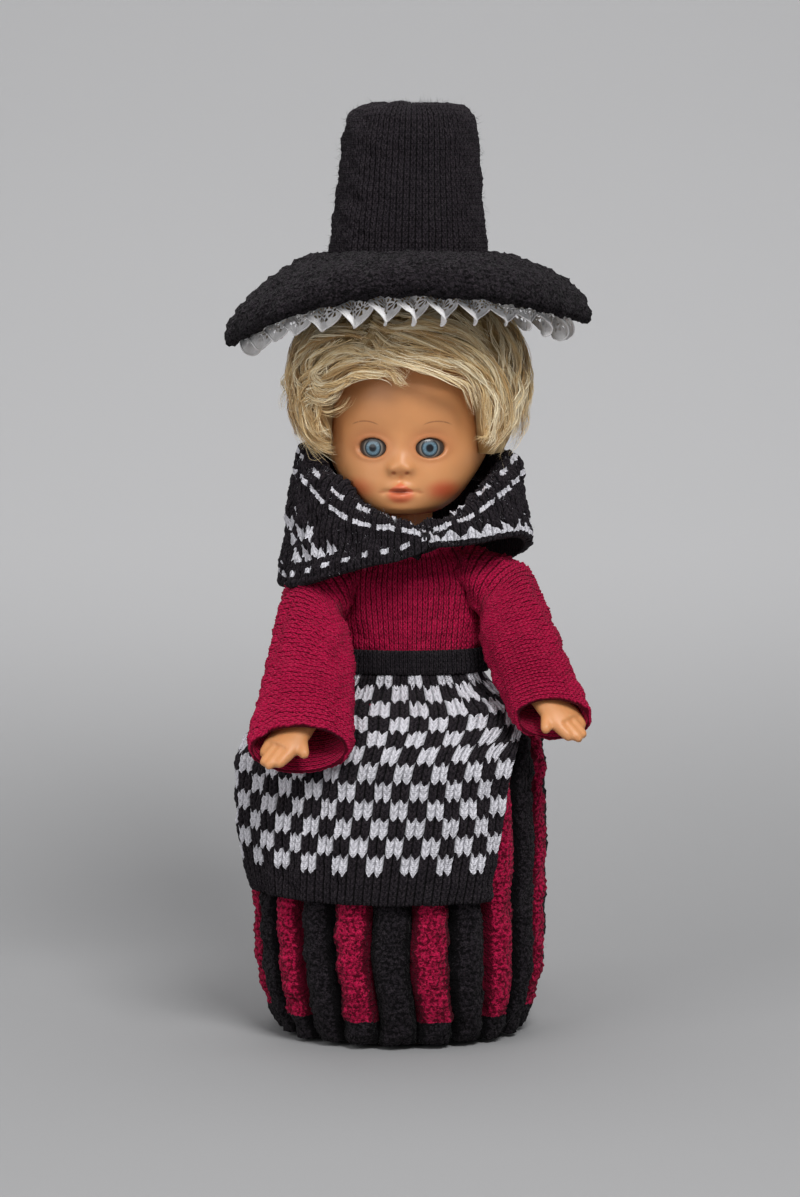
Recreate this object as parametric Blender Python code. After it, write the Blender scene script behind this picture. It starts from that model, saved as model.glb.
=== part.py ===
"""Vinyl doll in a knitted folk costume: tall hat, shawl, apron and ribbed skirt.

The doll faces -Y and stands on its soles at z = 0. Sizes are in millimetres and
become metres when a mesh is made. An azimuth of 0 points to -Y, the front, and a
positive azimuth turns towards +X, the doll's own left.
"""

import math

import bmesh
import bpy
import numpy as np
from mathutils import Matrix, Vector

MM = 0.001
GAP = 0.35  # clearance between neighbouring pieces

# Heights of the figure
WAIST_Z = 147.0
HIP_Z = WAIST_Z - 21.0
SHOULDER_Z = 186.0
NECK_TOP_Z = 222.0
HEAD_BOTTOM_Z = 213.0
EYE_Z = 236.0
HEAD_TOP_Z = 291.0
COLLAR_TOP_Z = 231.0
BRIM_SEAT_Z = 307.0
HAT_TOP_Z = 371.0

# Torso
CHEST_HALF_WIDTH = 27.0
CHEST_HALF_DEPTH = 18.5
HIP_HALF_WIDTH = 26.0
HIP_HALF_DEPTH = 16.0
CROTCH_HALF_WIDTH = 12.0
CROTCH_DROP = 9.0
NECK_RADIUS = 10.0

# Limbs
KNOB_RADIUS = 4.5
KNOB_LENGTH = 7.0
KNOB_CLEARANCE = 0.4
ARM_ROOT_RADIUS = 10.5
LEG_TOP_RADIUS = 8.6
KNEE_RADIUS = 7.6
ANKLE_RADIUS = 5.6
ANKLE_SPREAD = 14.0
FOOT_LENGTH = 28.0
FOOT_WIDTH = 14.0
FOOT_HEIGHT = 10.0
HEEL_Y = 11.0

# Where the cuffs and the finger tips are
RIGHT_CUFF_X = -42.0
RIGHT_CUFF_Y = -62.0
RIGHT_CUFF_Z = 121.5
RIGHT_CUFF_HALF_WIDTH = 19.5
RIGHT_CUFF_HALF_HEIGHT = 11.0
RIGHT_TIPS_X = -55.5
RIGHT_TIPS_Y = -69.0
RIGHT_TIPS_Z = 116.5
LEFT_CUFF_X = 56.6
LEFT_CUFF_Y = -47.5
LEFT_CUFF_Z = 131.5
LEFT_CUFF_HALF_WIDTH = 15.2
LEFT_CUFF_HALF_HEIGHT = 9.5
LEFT_TIPS_X = 68.5
LEFT_TIPS_Y = -53.0
LEFT_TIPS_Z = 125.0

# Head and face
HEAD_HALF_WIDTH = 32.0
HEAD_FRONT = 33.5
HEAD_BACK = 36.0
HEAD_WALL = 2.4
HEAD_YAW = math.radians(-6.0)
EYE_HALF_WIDTH = 5.6
EYE_HALF_HEIGHT = 4.1
EYE_HALF_DEPTH = 3.4
EYE_SPACING = 22.5
EYE_SET_BACK = 1.0
NOSE_LENGTH = 4.2
HAIR_HALF_WIDTH = 47.0
HAIR_FRONT = 41.5
HAIR_BACK = 46.0
HAIR_RISE = 7.0
HAIR_BOTTOM_Z = COLLAR_TOP_Z + 1.5
HAIRLINE_Z = 264.0
HAIR_CLEARANCE = 1.5
HAIR_ROWS = 10

# Hat
BRIM_RADIUS = 72.0
BRIM_THICKNESS = 11.0
BRIM_DROOP_FRONT = 7.0
BRIM_DROOP_RIGHT = 29.0
BRIM_DROOP_LEFT = 19.0
CROWN_BASE_RADIUS = 32.0
CROWN_TOP_RADIUS = 26.4
CROWN_SHOULDER = 8.0
CROWN_WALL = 2.6
CROWN_LEAN = math.tan(math.radians(1.4))
LACE_RADIUS = 61.0
LACE_WIDTH = 9.0
LACE_THICKNESS = 0.8
LACE_WAVES = 24
LACE_WAVE_HEIGHT = 1.6

# Dress
BODICE_WALL = 2.2
ARMHOLE_CLEARANCE = 1.2
SLEEVE_WALL = 2.2
SLEEVE_ROOT_RADIUS = 14.0
SKIRT_RADIUS = 59.0
SKIRT_HEM_RADIUS = 48.5
SKIRT_TOP_RADIUS = 32.5
SKIRT_HEM_Z = 1.0
SKIRT_OFFSET_X = -3.0
RIB_COUNT = 22
RIB_DEPTH = 6.0
RIB_HEM_SHARE = 0.6
RIB_FIRST_AZIMUTH = math.radians(-3.8)
RIB_SWAY = math.radians(5.0)
SKIRT_WALL = 3.5
SKIRT_DEPTH_SHARE = 0.93

# Apron and shawl
WAISTBAND_HEIGHT = 10.0
WAISTBAND_WALL = 2.4
APRON_WALL = 2.4
APRON_HEM_Z = 61.0
APRON_FLARE = 5.5
SHAWL_WALL = 2.4
SHAWL_HALF_WIDTH = 51.0
SHAWL_FRONT = 40.0
SHAWL_BACK = 38.0
COLLAR_RADIUS = 38.0
COLLAR_FRONT = 35.5
COLLAR_LOW_Z = SHOULDER_Z + 21.0
FASTENER_RADIUS = 2.0

TORSO_SIDES = 24
HEAD_SIDES = 32
ROUND_SIDES = 36
LIMB_SIDES = 16
KNOB_SIDES = 20
SLEEVE_SIDES = 24
SHAWL_SIDES = 44
APRON_STRIPS = 25

SHARP_ANGLE = math.radians(50.0)

CRIMSON = (0.39, 0.012, 0.055)
BLACK_WOOL = (0.014, 0.012, 0.014)
SKIN = (0.66, 0.35, 0.19)


def clear_scene():
    for item in list(bpy.data.objects):
        bpy.data.objects.remove(item, do_unlink=True)


def make_material(name, color, roughness, metallic=0.0):
    made = bpy.data.materials.new(name)
    made.use_nodes = True
    shader = made.node_tree.nodes["Principled BSDF"]
    shader.inputs["Base Color"].default_value = (*color, 1.0)
    shader.inputs["Roughness"].default_value = roughness
    shader.inputs["Metallic"].default_value = metallic
    return made


def finish_mesh(name, mesh_data, material, pivot=(0.0, 0.0, 0.0)):
    """Make an object whose origin is at the pivot, from a bmesh in millimetres."""
    bmesh.ops.recalc_face_normals(mesh_data, faces=mesh_data.faces)
    origin = Vector(pivot)
    for corner in mesh_data.verts:
        corner.co = (corner.co - origin) * MM
    mesh = bpy.data.meshes.new(name)
    mesh_data.to_mesh(mesh)
    mesh_data.free()
    mesh.materials.append(material)
    mesh.shade_smooth()
    mesh.set_sharp_from_angle(angle=SHARP_ANGLE)
    made = bpy.data.objects.new(name, mesh)
    made.location = origin * MM
    bpy.context.collection.objects.link(made)
    return made


def loft(name, rings, material, pivot=(0.0, 0.0, 0.0), looped=False):
    """Skin a list of rings of points; the ends are capped, or joined when looped."""
    mesh_data = bmesh.new()
    rows = [[mesh_data.verts.new(point) for point in ring] for ring in rings]
    pairs = list(zip(rows, rows[1:]))
    if looped:
        pairs.append((rows[-1], rows[0]))
    for first, second in pairs:
        count = len(first)
        for i in range(count):
            j = (i + 1) % count
            mesh_data.faces.new((first[i], first[j], second[j], second[i]))
    if not looped:
        mesh_data.faces.new(rows[0])
        mesh_data.faces.new(rows[-1])
    return finish_mesh(name, mesh_data, material, pivot)


def boolean(target, helper, operation):
    """Cut the helper from the target, or join it on, and hide the helper."""
    step = target.modifiers.new(operation.title(), "BOOLEAN")
    step.operation = operation
    step.solver = "EXACT"
    step.object = helper
    helper.hide_render = True
    helper.display_type = "WIRE"


def smooth_table(table, value):
    """Read a column list of (height, a, b, ...) rows at one height."""
    rows = np.array(table)
    return [float(np.interp(value, rows[:, 0], rows[:, k])) for k in range(1, rows.shape[1])]


def eased(value, low, high):
    """0 below low, 1 above high, and an even S-curve between."""
    t = min(max((value - low) / (high - low), 0.0), 1.0)
    return t * t * (3.0 - 2.0 * t)


def azimuth_point(azimuth, radius, z, center_x=0.0):
    return Vector((center_x + radius * math.sin(azimuth), -radius * math.cos(azimuth), z))


def azimuths(count):
    return [2.0 * math.pi * i / count for i in range(count)]


def oval(azimuth, half_width, front, back):
    """Radius at an azimuth of an oval with its own front and back depths."""
    depth = front if math.cos(azimuth) > 0.0 else back
    return 1.0 / math.hypot(math.sin(azimuth) / half_width, math.cos(azimuth) / depth)


def oval_ring(z, half_width, half_depth):
    return [azimuth_point(a, oval(a, half_width, half_depth, half_depth), z) for a in azimuths(TORSO_SIDES)]


def cylinder_along_x(name, x_from, x_to, radius, z, material):
    """A round helper between two x positions, centred on y = 0."""
    across = Vector((0.0, 1.0, 0.0))
    up = Vector((0.0, 0.0, 1.0))
    rings = []
    for x in (x_from, x_to):
        rings.append(frame_ring(Vector((x, 0.0, z)), across, up, radius, radius, KNOB_SIDES))
    return loft(name, rings, material)


# Torso and the garment that follows it

CHEST_HEIGHT = SHOULDER_Z - WAIST_Z
TORSO_PROFILE = [
    (WAIST_Z + 0.5, HIP_HALF_WIDTH, HIP_HALF_DEPTH),
    (WAIST_Z + 0.3 * CHEST_HEIGHT, HIP_HALF_WIDTH - 1.0, HIP_HALF_DEPTH + 0.4),
    (SHOULDER_Z - 0.4 * CHEST_HEIGHT, CHEST_HALF_WIDTH - 1.2, CHEST_HALF_DEPTH - 0.6),
    (SHOULDER_Z - 2.0, CHEST_HALF_WIDTH, CHEST_HALF_DEPTH),
    (SHOULDER_Z + 5.0, CHEST_HALF_WIDTH - 2.5, CHEST_HALF_DEPTH - 2.0),
    (SHOULDER_Z + 10.0, CHEST_HALF_WIDTH - 9.0, CHEST_HALF_DEPTH - 5.0),
    (SHOULDER_Z + 13.0, NECK_RADIUS + 2.0, NECK_RADIUS + 1.0),
    (SHOULDER_Z + 15.5, NECK_RADIUS, NECK_RADIUS),
]


def make_torso(material):
    rings = [
        oval_ring(HIP_Z - CROTCH_DROP, CROTCH_HALF_WIDTH - 3.0, HIP_HALF_DEPTH - 8.0),
        oval_ring(HIP_Z - CROTCH_DROP + 4.0, CROTCH_HALF_WIDTH, HIP_HALF_DEPTH - 3.0),
        oval_ring(WAIST_Z - 1.0, CROTCH_HALF_WIDTH, HIP_HALF_DEPTH - 1.0),
    ]
    rings += [oval_ring(z, width, depth) for z, width, depth in TORSO_PROFILE]
    rings.append(oval_ring(NECK_TOP_Z, NECK_RADIUS - 0.4, NECK_RADIUS - 0.4))
    torso = loft("torso", rings, material)
    for side, label in ((-1.0, "right"), (1.0, "left")):
        for joint, inner, z in (
            ("shoulder", CHEST_HALF_WIDTH - KNOB_LENGTH, SHOULDER_Z),
            ("hip", CROTCH_HALF_WIDTH - KNOB_LENGTH, HIP_Z),
        ):
            socket = cylinder_along_x(
                f"socket_{joint}_{label}",
                side * (inner - KNOB_CLEARANCE),
                side * (CHEST_HALF_WIDTH + KNOB_LENGTH),
                KNOB_RADIUS + KNOB_CLEARANCE,
                z,
                material,
            )
            boolean(torso, socket, "DIFFERENCE")
    return torso


def bodice_profile():
    """Rows of (z, inner width, inner depth), one gap outside the torso."""
    rows = []
    for z, width, depth in TORSO_PROFILE[:-1]:
        rows.append((z + GAP, width + GAP, depth + GAP))
    return rows


def make_bodice(material):
    inner = [oval_ring(z, w, d) for z, w, d in bodice_profile()]
    outer = [
        oval_ring(z + (BODICE_WALL if z > SHOULDER_Z + 5.0 else 0.0), w + BODICE_WALL, d + BODICE_WALL)
        for z, w, d in bodice_profile()
    ]
    bodice = loft("bodice", outer + inner[::-1], material, looped=True)
    for side, label in ((-1.0, "right"), (1.0, "left")):
        armhole = cylinder_along_x(
            f"armhole_{label}",
            side * (CHEST_HALF_WIDTH - 8.0),
            side * (CHEST_HALF_WIDTH + 12.0),
            ARM_ROOT_RADIUS + ARMHOLE_CLEARANCE,
            SHOULDER_Z,
            material,
        )
        boolean(bodice, armhole, "DIFFERENCE")
    return bodice


# Arms and sleeves

class ArmRoute:
    """Where one arm goes: its side, its finger tips and the middle of its cuff."""

    def __init__(self, side, label, tips, cuff, cuff_half_width, cuff_half_height):
        self.side = side
        self.label = label
        self.pivot = Vector((side * CHEST_HALF_WIDTH, 0.0, SHOULDER_Z))
        self.tips = Vector(tips)
        self.cuff = Vector(cuff)
        self.cuff_half_width = cuff_half_width
        self.cuff_half_height = cuff_half_height

    def down(self):
        """Direction of the arm as seen from the side."""
        return Vector((0.0, self.cuff.y, self.cuff.z - SHOULDER_Z)).normalized()

    def along(self, share, bend):
        """A point between shoulder and cuff, moved sideways by a bend."""
        start = Vector((self.side * (CHEST_HALF_WIDTH + BODICE_WALL + 2.0 * GAP), 0.0, SHOULDER_Z))
        return start.lerp(self.cuff, share) + Vector((self.side * bend, 0.0, 0.0))

    def wrist(self):
        return self.along(0.86, 0.0)


ARMS = (
    ArmRoute(
        -1.0,
        "right",
        (RIGHT_TIPS_X, RIGHT_TIPS_Y, RIGHT_TIPS_Z),
        (RIGHT_CUFF_X, RIGHT_CUFF_Y, RIGHT_CUFF_Z),
        RIGHT_CUFF_HALF_WIDTH,
        RIGHT_CUFF_HALF_HEIGHT,
    ),
    ArmRoute(
        1.0,
        "left",
        (LEFT_TIPS_X, LEFT_TIPS_Y, LEFT_TIPS_Z),
        (LEFT_CUFF_X, LEFT_CUFF_Y, LEFT_CUFF_Z),
        LEFT_CUFF_HALF_WIDTH,
        LEFT_CUFF_HALF_HEIGHT,
    ),
)
CUFF_TILT = math.radians(22.0)


def frame_ring(center, across, up, half_width, half_height, sides=LIMB_SIDES):
    return [
        center + across * (half_width * math.cos(a)) + up * (half_height * math.sin(a))
        for a in azimuths(sides)
    ]


def turning_frame(side, forward, turn):
    """Axes of a ring that turns from facing sideways (0) to facing forward (1)."""
    angle = turn * math.pi / 2.0
    outward = Vector((side, 0.0, 0.0))
    across = outward * math.sin(angle) - forward * math.cos(angle)
    up = Vector((1.0, 0.0, 0.0)).cross(forward)
    return across.normalized(), up.normalized()


def make_arm(route, material):
    """A vinyl arm with its knob, its hand and a separate thumb."""
    start = Vector((route.side * (CHEST_HALF_WIDTH + GAP), 0.0, SHOULDER_Z))
    wrist = route.wrist()
    stations = (
        (start, 0.0, ARM_ROOT_RADIUS, ARM_ROOT_RADIUS),
        (route.along(0.0, 0.0), 0.0, ARM_ROOT_RADIUS, ARM_ROOT_RADIUS),
        (route.along(0.13, 4.2), 0.4, 9.2, 9.0),
        (route.along(0.38, 2.2), 0.72, 7.4, 7.0),
        (route.along(0.7, 0.6), 0.9, 6.0, 5.6),
        (wrist, 1.0, 4.8, 4.2),
        (wrist.lerp(route.tips, 0.35), 1.0, 6.6, 3.4),
        (wrist.lerp(route.tips, 0.65), 1.0, 6.4, 2.9),
        (wrist.lerp(route.tips, 0.9), 1.0, 4.8, 2.2),
        (route.tips, 1.0, 2.6, 1.2),
    )
    rings = []
    for center, turn, half_width, half_height in stations:
        across, up = turning_frame(route.side, route.down(), turn)
        rings.append(frame_ring(center, across, up, half_width, half_height))
    arm = loft(f"arm_{route.label}", rings, material, route.pivot)
    knob = cylinder_along_x(
        f"arm_knob_{route.label}",
        route.side * (CHEST_HALF_WIDTH + 3.0),
        route.side * (CHEST_HALF_WIDTH - KNOB_LENGTH),
        KNOB_RADIUS,
        SHOULDER_Z,
        material,
    )
    boolean(arm, knob, "UNION")
    boolean(arm, make_thumb(route, material), "UNION")
    return arm


def make_thumb(route, material):
    """The thumb leaves the palm on the side of the body."""
    across, up = turning_frame(route.side, route.down(), 1.0)
    palm = route.wrist().lerp(route.tips, 0.35)
    inward = -across
    reach = (route.tips - route.wrist()).normalized()
    rings = []
    for along, radius in ((0.0, 2.4), (5.0, 2.6), (9.5, 2.2), (12.0, 1.0)):
        center = palm + inward * along + reach * (along * 0.45)
        rings.append(frame_ring(center, reach, up, radius, radius * 0.85, 12))
    return loft(f"thumb_{route.label}", rings, material)


def sleeve_stations(route):
    """Centre, turn and outer half sizes of each ring, from armhole to cuff."""
    width = route.cuff_half_width
    height = route.cuff_half_height
    root = SLEEVE_ROOT_RADIUS
    return (
        (route.along(0.0, 0.0), 0.0, root, root),
        (route.along(0.13, 4.2), 0.4, root, root - 0.5),
        (route.along(0.38, 2.2), 0.72, 0.6 * root + 0.4 * width, 0.7 * root + 0.3 * height),
        (route.along(0.7, 0.6), 0.9, 0.25 * root + 0.75 * width, 0.4 * root + 0.6 * height),
        (route.along(0.9, 0.0), 0.97, width, 0.15 * root + 0.85 * height),
        (route.cuff, 1.0, width, height),
    )


def make_sleeve(route, material):
    """A wide knitted bell from the armhole to the open cuff."""
    cuff_up = Vector((0.0, -math.sin(CUFF_TILT), math.cos(CUFF_TILT)))
    outer, inner = [], []
    for center, turn, half_width, half_height in sleeve_stations(route):
        across, up = turning_frame(route.side, route.down(), turn)
        lean = eased(turn, 0.85, 1.0)
        up = up.lerp(cuff_up if up.z > 0.0 else -cuff_up, lean).normalized()
        outer.append(frame_ring(center, across, up, half_width, half_height, SLEEVE_SIDES))
        inner_width = half_width - SLEEVE_WALL
        inner_height = half_height - SLEEVE_WALL
        inner.append(frame_ring(center, across, up, inner_width, inner_height, SLEEVE_SIDES))
    return loft(f"sleeve_{route.label}", outer + inner[::-1], material, route.pivot, looped=True)


# Legs

def make_leg(side, label, material):
    """A straight vinyl leg with a flat-soled foot, hung on its hip knob."""
    hip_x = CROTCH_HALF_WIDTH + GAP + LEG_TOP_RADIUS
    top_z = HIP_Z + LEG_TOP_RADIUS + 1.5
    stations = (
        (top_z, hip_x, 5.0),
        (top_z - 3.0, hip_x, 8.5),
        (HIP_Z, hip_x, LEG_TOP_RADIUS),
        (HIP_Z - CROTCH_DROP - 1.0, hip_x, LEG_TOP_RADIUS),
        (78.0, ANKLE_SPREAD + 3.5, KNEE_RADIUS),
        (58.0, ANKLE_SPREAD + 2.0, KNEE_RADIUS + 0.6),
        (28.0, ANKLE_SPREAD + 0.5, ANKLE_RADIUS + 0.6),
        (FOOT_HEIGHT * 0.6, ANKLE_SPREAD, ANKLE_RADIUS),
    )
    rings = [oval_ring_at(side * x, z, radius) for z, x, radius in stations]
    pivot = Vector((side * CROTCH_HALF_WIDTH, 0.0, HIP_Z))
    leg = loft(f"leg_{label}", rings, material, pivot)
    knob = cylinder_along_x(
        f"leg_knob_{label}",
        side * hip_x,
        side * (CROTCH_HALF_WIDTH - KNOB_LENGTH),
        KNOB_RADIUS,
        HIP_Z,
        material,
    )
    boolean(leg, knob, "UNION")
    boolean(leg, make_foot(side, label, material), "UNION")
    return leg


def oval_ring_at(center_x, z, radius):
    return [azimuth_point(a, radius, z, center_x) for a in azimuths(LIMB_SIDES)]


def make_foot(side, label, material):
    """A foot lofted upwards from its flat sole."""
    half_width = FOOT_WIDTH / 2.0
    half_length = FOOT_LENGTH / 2.0
    rings = []
    for z, share in ((0.0, 0.94), (2.0, 1.0), (FOOT_HEIGHT * 0.6, 0.92), (FOOT_HEIGHT, 0.55)):
        center_x = side * ANKLE_SPREAD
        center_y = HEEL_Y - half_length + 0.8 * half_length * (1.0 - share)
        rings.append([
            Vector((
                center_x + half_width * share * math.sin(a),
                center_y - half_length * share * math.cos(a),
                z,
            ))
            for a in azimuths(LIMB_SIDES)
        ])
    return loft(f"foot_{label}", rings, material)


# Head, eyes and hair

# Rows of front height, back height, half width, front depth and back depth
HEAD_PROFILE = [
    (HEAD_BOTTOM_Z, HEAD_BOTTOM_Z + 3.0, NECK_RADIUS + 1.0, NECK_RADIUS + 1.0, NECK_RADIUS + 1.0),
    (209.5, 219.0, 15.5, 24.5, 19.0),
    (211.5, 223.0, 20.5, 29.5, 26.0),
    (215.0, 227.5, 24.0, 31.5, 30.0),
    (220.0, 231.0, 27.5, 32.0, 32.5),
    (225.0, 234.0, 30.0, 32.0, 34.0),
    (230.0, 237.0, 31.3, 32.5, 35.0),
    (236.0, 241.0, HEAD_HALF_WIDTH - 0.4, HEAD_FRONT - 1.7, HEAD_BACK - 0.4),
    (242.0, 246.0, HEAD_HALF_WIDTH, HEAD_FRONT - 1.1, HEAD_BACK - 0.1),
    (249.0, 252.0, HEAD_HALF_WIDTH, HEAD_FRONT, HEAD_BACK),
    (257.0, 259.0, HEAD_HALF_WIDTH - 0.2, HEAD_FRONT, HEAD_BACK),
    (266.0, 267.0, HEAD_HALF_WIDTH - 1.4, HEAD_FRONT - 1.6, HEAD_BACK - 2.0),
    (275.0, 275.0, HEAD_HALF_WIDTH - 4.4, HEAD_FRONT - 5.2, HEAD_BACK - 6.0),
    (282.0, 282.0, HEAD_HALF_WIDTH - 9.0, HEAD_FRONT - 10.5, HEAD_BACK - 11.5),
    (287.5, 287.5, 16.0, 16.5, 17.5),
    (HEAD_TOP_Z, HEAD_TOP_Z, 7.0, 7.0, 7.5),
]
NOSE_Z = 229.0


def head_ring(row, inset):
    """One ring of the head, taken in by an inset and turned by the head's yaw."""
    z_front, z_back, width, front, back = row
    ring = []
    for a in azimuths(HEAD_SIDES):
        radius = oval(a, width, front, back) - inset
        z = z_front + (z_back - z_front) * (0.5 - 0.5 * math.cos(a))
        ring.append(azimuth_point(a + HEAD_YAW, radius, z))
    return ring


def nose_lift(azimuth, z):
    """How far the nose stands out of the face at one place."""
    across = math.sin(azimuth) * HEAD_FRONT
    if math.cos(azimuth) < 0.0:
        return 0.0
    height = math.exp(-((z - NOSE_Z) / (3.2 if z < NOSE_Z else 6.5)) ** 2)
    return NOSE_LENGTH * height * math.exp(-(across / 4.6) ** 2)


def make_head(material):
    """A hollow vinyl shell, open at the neck, with two eye sockets through it."""
    outer = []
    for row in HEAD_PROFILE:
        ring = head_ring(row, 0.0)
        outer.append([
            point + azimuth_point(a + HEAD_YAW, nose_lift(a, point.z), 0.0)
            for a, point in zip(azimuths(HEAD_SIDES), ring)
        ])
    inner = [head_ring(row, HEAD_WALL) for row in HEAD_PROFILE[3:-1:2]]
    throat = []
    for z in (HEAD_BOTTOM_Z, HEAD_BOTTOM_Z + 4.5):
        throat.append([azimuth_point(a, NECK_RADIUS + 0.7, z) for a in azimuths(HEAD_SIDES)])
    roof = HEAD_TOP_Z - HEAD_WALL
    dome = [azimuth_point(a + HEAD_YAW, 5.0, roof) for a in azimuths(HEAD_SIDES)]
    rings = [dome] + inner[::-1] + throat[::-1] + outer
    return loft("head", rings, material)


def eye_center(side):
    """The eye sits a little behind the face's surface."""
    radius = head_radius(0.0, EYE_Z) - EYE_SET_BACK
    azimuth = side * math.asin(0.5 * EYE_SPACING / radius)
    return azimuth_point(azimuth + HEAD_YAW, radius, EYE_Z)


def make_eye(name, side, grow, material):
    """A lens-shaped eye, or its socket when grown by the clearance."""
    center = eye_center(side)
    mesh_data = bmesh.new()
    bmesh.ops.create_uvsphere(mesh_data, u_segments=16, v_segments=8, radius=1.0)
    half_size = Vector((EYE_HALF_WIDTH + grow, EYE_HALF_DEPTH + grow, EYE_HALF_HEIGHT + grow))
    facing = Matrix.Rotation(math.atan2(center.x, -center.y), 3, "Z")
    for corner in mesh_data.verts:
        corner.co = center + facing @ (corner.co * half_size)
    return finish_mesh(name, mesh_data, material, center)


def hair_edge_z(azimuth):
    """Lower edge of the hair: high over the face, low at the sides and back."""
    away = abs(math.atan2(math.sin(azimuth), math.cos(azimuth)))
    return HAIRLINE_Z + (HAIR_BOTTOM_Z - HAIRLINE_Z) * eased(away, math.radians(50.0), math.radians(72.0))


def head_radius(azimuth, z):
    """Outer radius of the head at a height, from its profile."""
    front_share = 0.5 + 0.5 * math.cos(azimuth)
    rows = HEAD_PROFILE[3:]
    heights = [row[1] + (row[0] - row[1]) * front_share for row in rows]
    radii = [oval(azimuth, row[2], row[3], row[4]) for row in rows]
    return float(np.interp(z, heights, radii))


# Rows of height, half width, front depth and back depth of the hair's outside
HAIR_PROFILE = [
    (HAIR_BOTTOM_Z, HAIR_HALF_WIDTH - 6.5, HAIR_FRONT - 4.0, HAIR_BACK - 7.0),
    (240.0, HAIR_HALF_WIDTH - 2.2, HAIR_FRONT - 2.0, HAIR_BACK - 3.0),
    (250.0, HAIR_HALF_WIDTH, HAIR_FRONT - 1.0, HAIR_BACK),
    (262.0, HAIR_HALF_WIDTH, HAIR_FRONT, HAIR_BACK),
    (272.0, HAIR_HALF_WIDTH - 1.2, HAIR_FRONT, HAIR_BACK - 1.0),
    (280.0, HAIR_HALF_WIDTH - 4.0, HAIR_FRONT - 2.0, HAIR_BACK - 4.0),
    (287.0, HAIR_HALF_WIDTH - 9.0, HAIR_FRONT - 6.0, HAIR_BACK - 8.5),
    (HEAD_TOP_Z + 2.5, HAIR_HALF_WIDTH - 17.0, HAIR_FRONT - 13.0, HAIR_BACK - 16.0),
    (HEAD_TOP_Z + 6.0, 19.0, 19.0, 19.0),
]


def make_hair(material):
    """Short full hair over the head: an outer and an inner dome joined at the edge."""
    inner_top = HEAD_TOP_Z - 5.0
    outer_top = HAIR_PROFILE[-1][0]
    outer, inner = [], []
    for step in range(HAIR_ROWS):
        share = step / (HAIR_ROWS - 1)
        outer_ring, inner_ring = [], []
        for a in azimuths(HEAD_SIDES):
            low = hair_edge_z(a)
            z = low + (outer_top - low) * share
            outer_ring.append(azimuth_point(a + HEAD_YAW, oval(a, *smooth_table(HAIR_PROFILE, z)), z))
            scalp_z = low + (inner_top - low) * share
            scalp = head_radius(a, scalp_z) + HAIR_CLEARANCE
            inner_ring.append(azimuth_point(a + HEAD_YAW, scalp, scalp_z))
        outer.append(outer_ring)
        inner.append(inner_ring)
    outer.append([azimuth_point(a, 8.0, HEAD_TOP_Z + HAIR_RISE) for a in azimuths(HEAD_SIDES)])
    for radius in (14.5, 6.0):
        inner.append([azimuth_point(a, radius, HEAD_TOP_Z + GAP) for a in azimuths(HEAD_SIDES)])
    return loft("hair", inner[::-1] + outer, material)


# Hat

def brim_middle_z(azimuth, radius):
    """Height of the brim's middle, which droops most at the sides."""
    side_droop = BRIM_DROOP_RIGHT if math.sin(azimuth) < 0.0 else BRIM_DROOP_LEFT
    droop = BRIM_DROOP_FRONT + (side_droop - BRIM_DROOP_FRONT) * math.sin(azimuth) ** 2
    share = (radius - CROWN_BASE_RADIUS) / (BRIM_RADIUS - CROWN_BASE_RADIUS)
    return BRIM_SEAT_Z - droop * max(share, 0.0) ** 1.6


def make_crown(material):
    """The tall crown: closed on top, open at the bottom, leaning a little."""
    bottom = BRIM_SEAT_Z - BRIM_THICKNESS / 2.0
    shoulder = HAT_TOP_Z - CROWN_SHOULDER
    profile = [(CROWN_BASE_RADIUS, bottom), (CROWN_BASE_RADIUS - 0.8, BRIM_SEAT_Z + 8.0)]
    profile += [(CROWN_TOP_RADIUS + 2.2, 0.5 * (bottom + shoulder)), (CROWN_TOP_RADIUS, shoulder)]
    for angle in (30.0, 60.0, 90.0):
        turn = math.radians(angle)
        radius = CROWN_TOP_RADIUS - CROWN_SHOULDER * (1.0 - math.cos(turn))
        profile.append((radius, shoulder + CROWN_SHOULDER * math.sin(turn)))
    profile.append((6.0, HAT_TOP_Z))
    outer = [leaning_ring(radius, z) for radius, z in profile]
    inner = [leaning_ring(radius - CROWN_WALL, min(z, HAT_TOP_Z - CROWN_WALL)) for radius, z in profile[:-3]]
    for radius in (CROWN_TOP_RADIUS - 5.0, 8.0):
        inner.append(leaning_ring(radius - CROWN_WALL, HAT_TOP_Z - CROWN_WALL))
    return loft("hat_crown", inner[::-1] + outer, material)


def leaning_ring(radius, z):
    return [azimuth_point(a, radius, z, CROWN_LEAN * (z - BRIM_SEAT_Z)) for a in azimuths(ROUND_SIDES)]


def make_stuffing(material):
    """Soft filling that keeps the tall crown up and rests on the hair."""
    low = HEAD_TOP_Z + HAIR_RISE + GAP
    high = HAT_TOP_Z - CROWN_WALL - GAP
    lower_radius = CROWN_BASE_RADIUS - CROWN_WALL - 1.4
    upper_radius = CROWN_TOP_RADIUS - CROWN_WALL - 1.0
    rings = []
    for z, radius in (
        (low, lower_radius - 8.0),
        (low + 5.0, lower_radius - 0.4),
        (BRIM_SEAT_Z + 8.0, lower_radius - 0.6),
        (high - CROWN_SHOULDER, upper_radius),
        (high - 0.4 * CROWN_SHOULDER, upper_radius - 2.6),
        (high, upper_radius - CROWN_SHOULDER),
    ):
        rings.append(leaning_ring(radius, z))
    return loft("hat_stuffing", rings, material)


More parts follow.
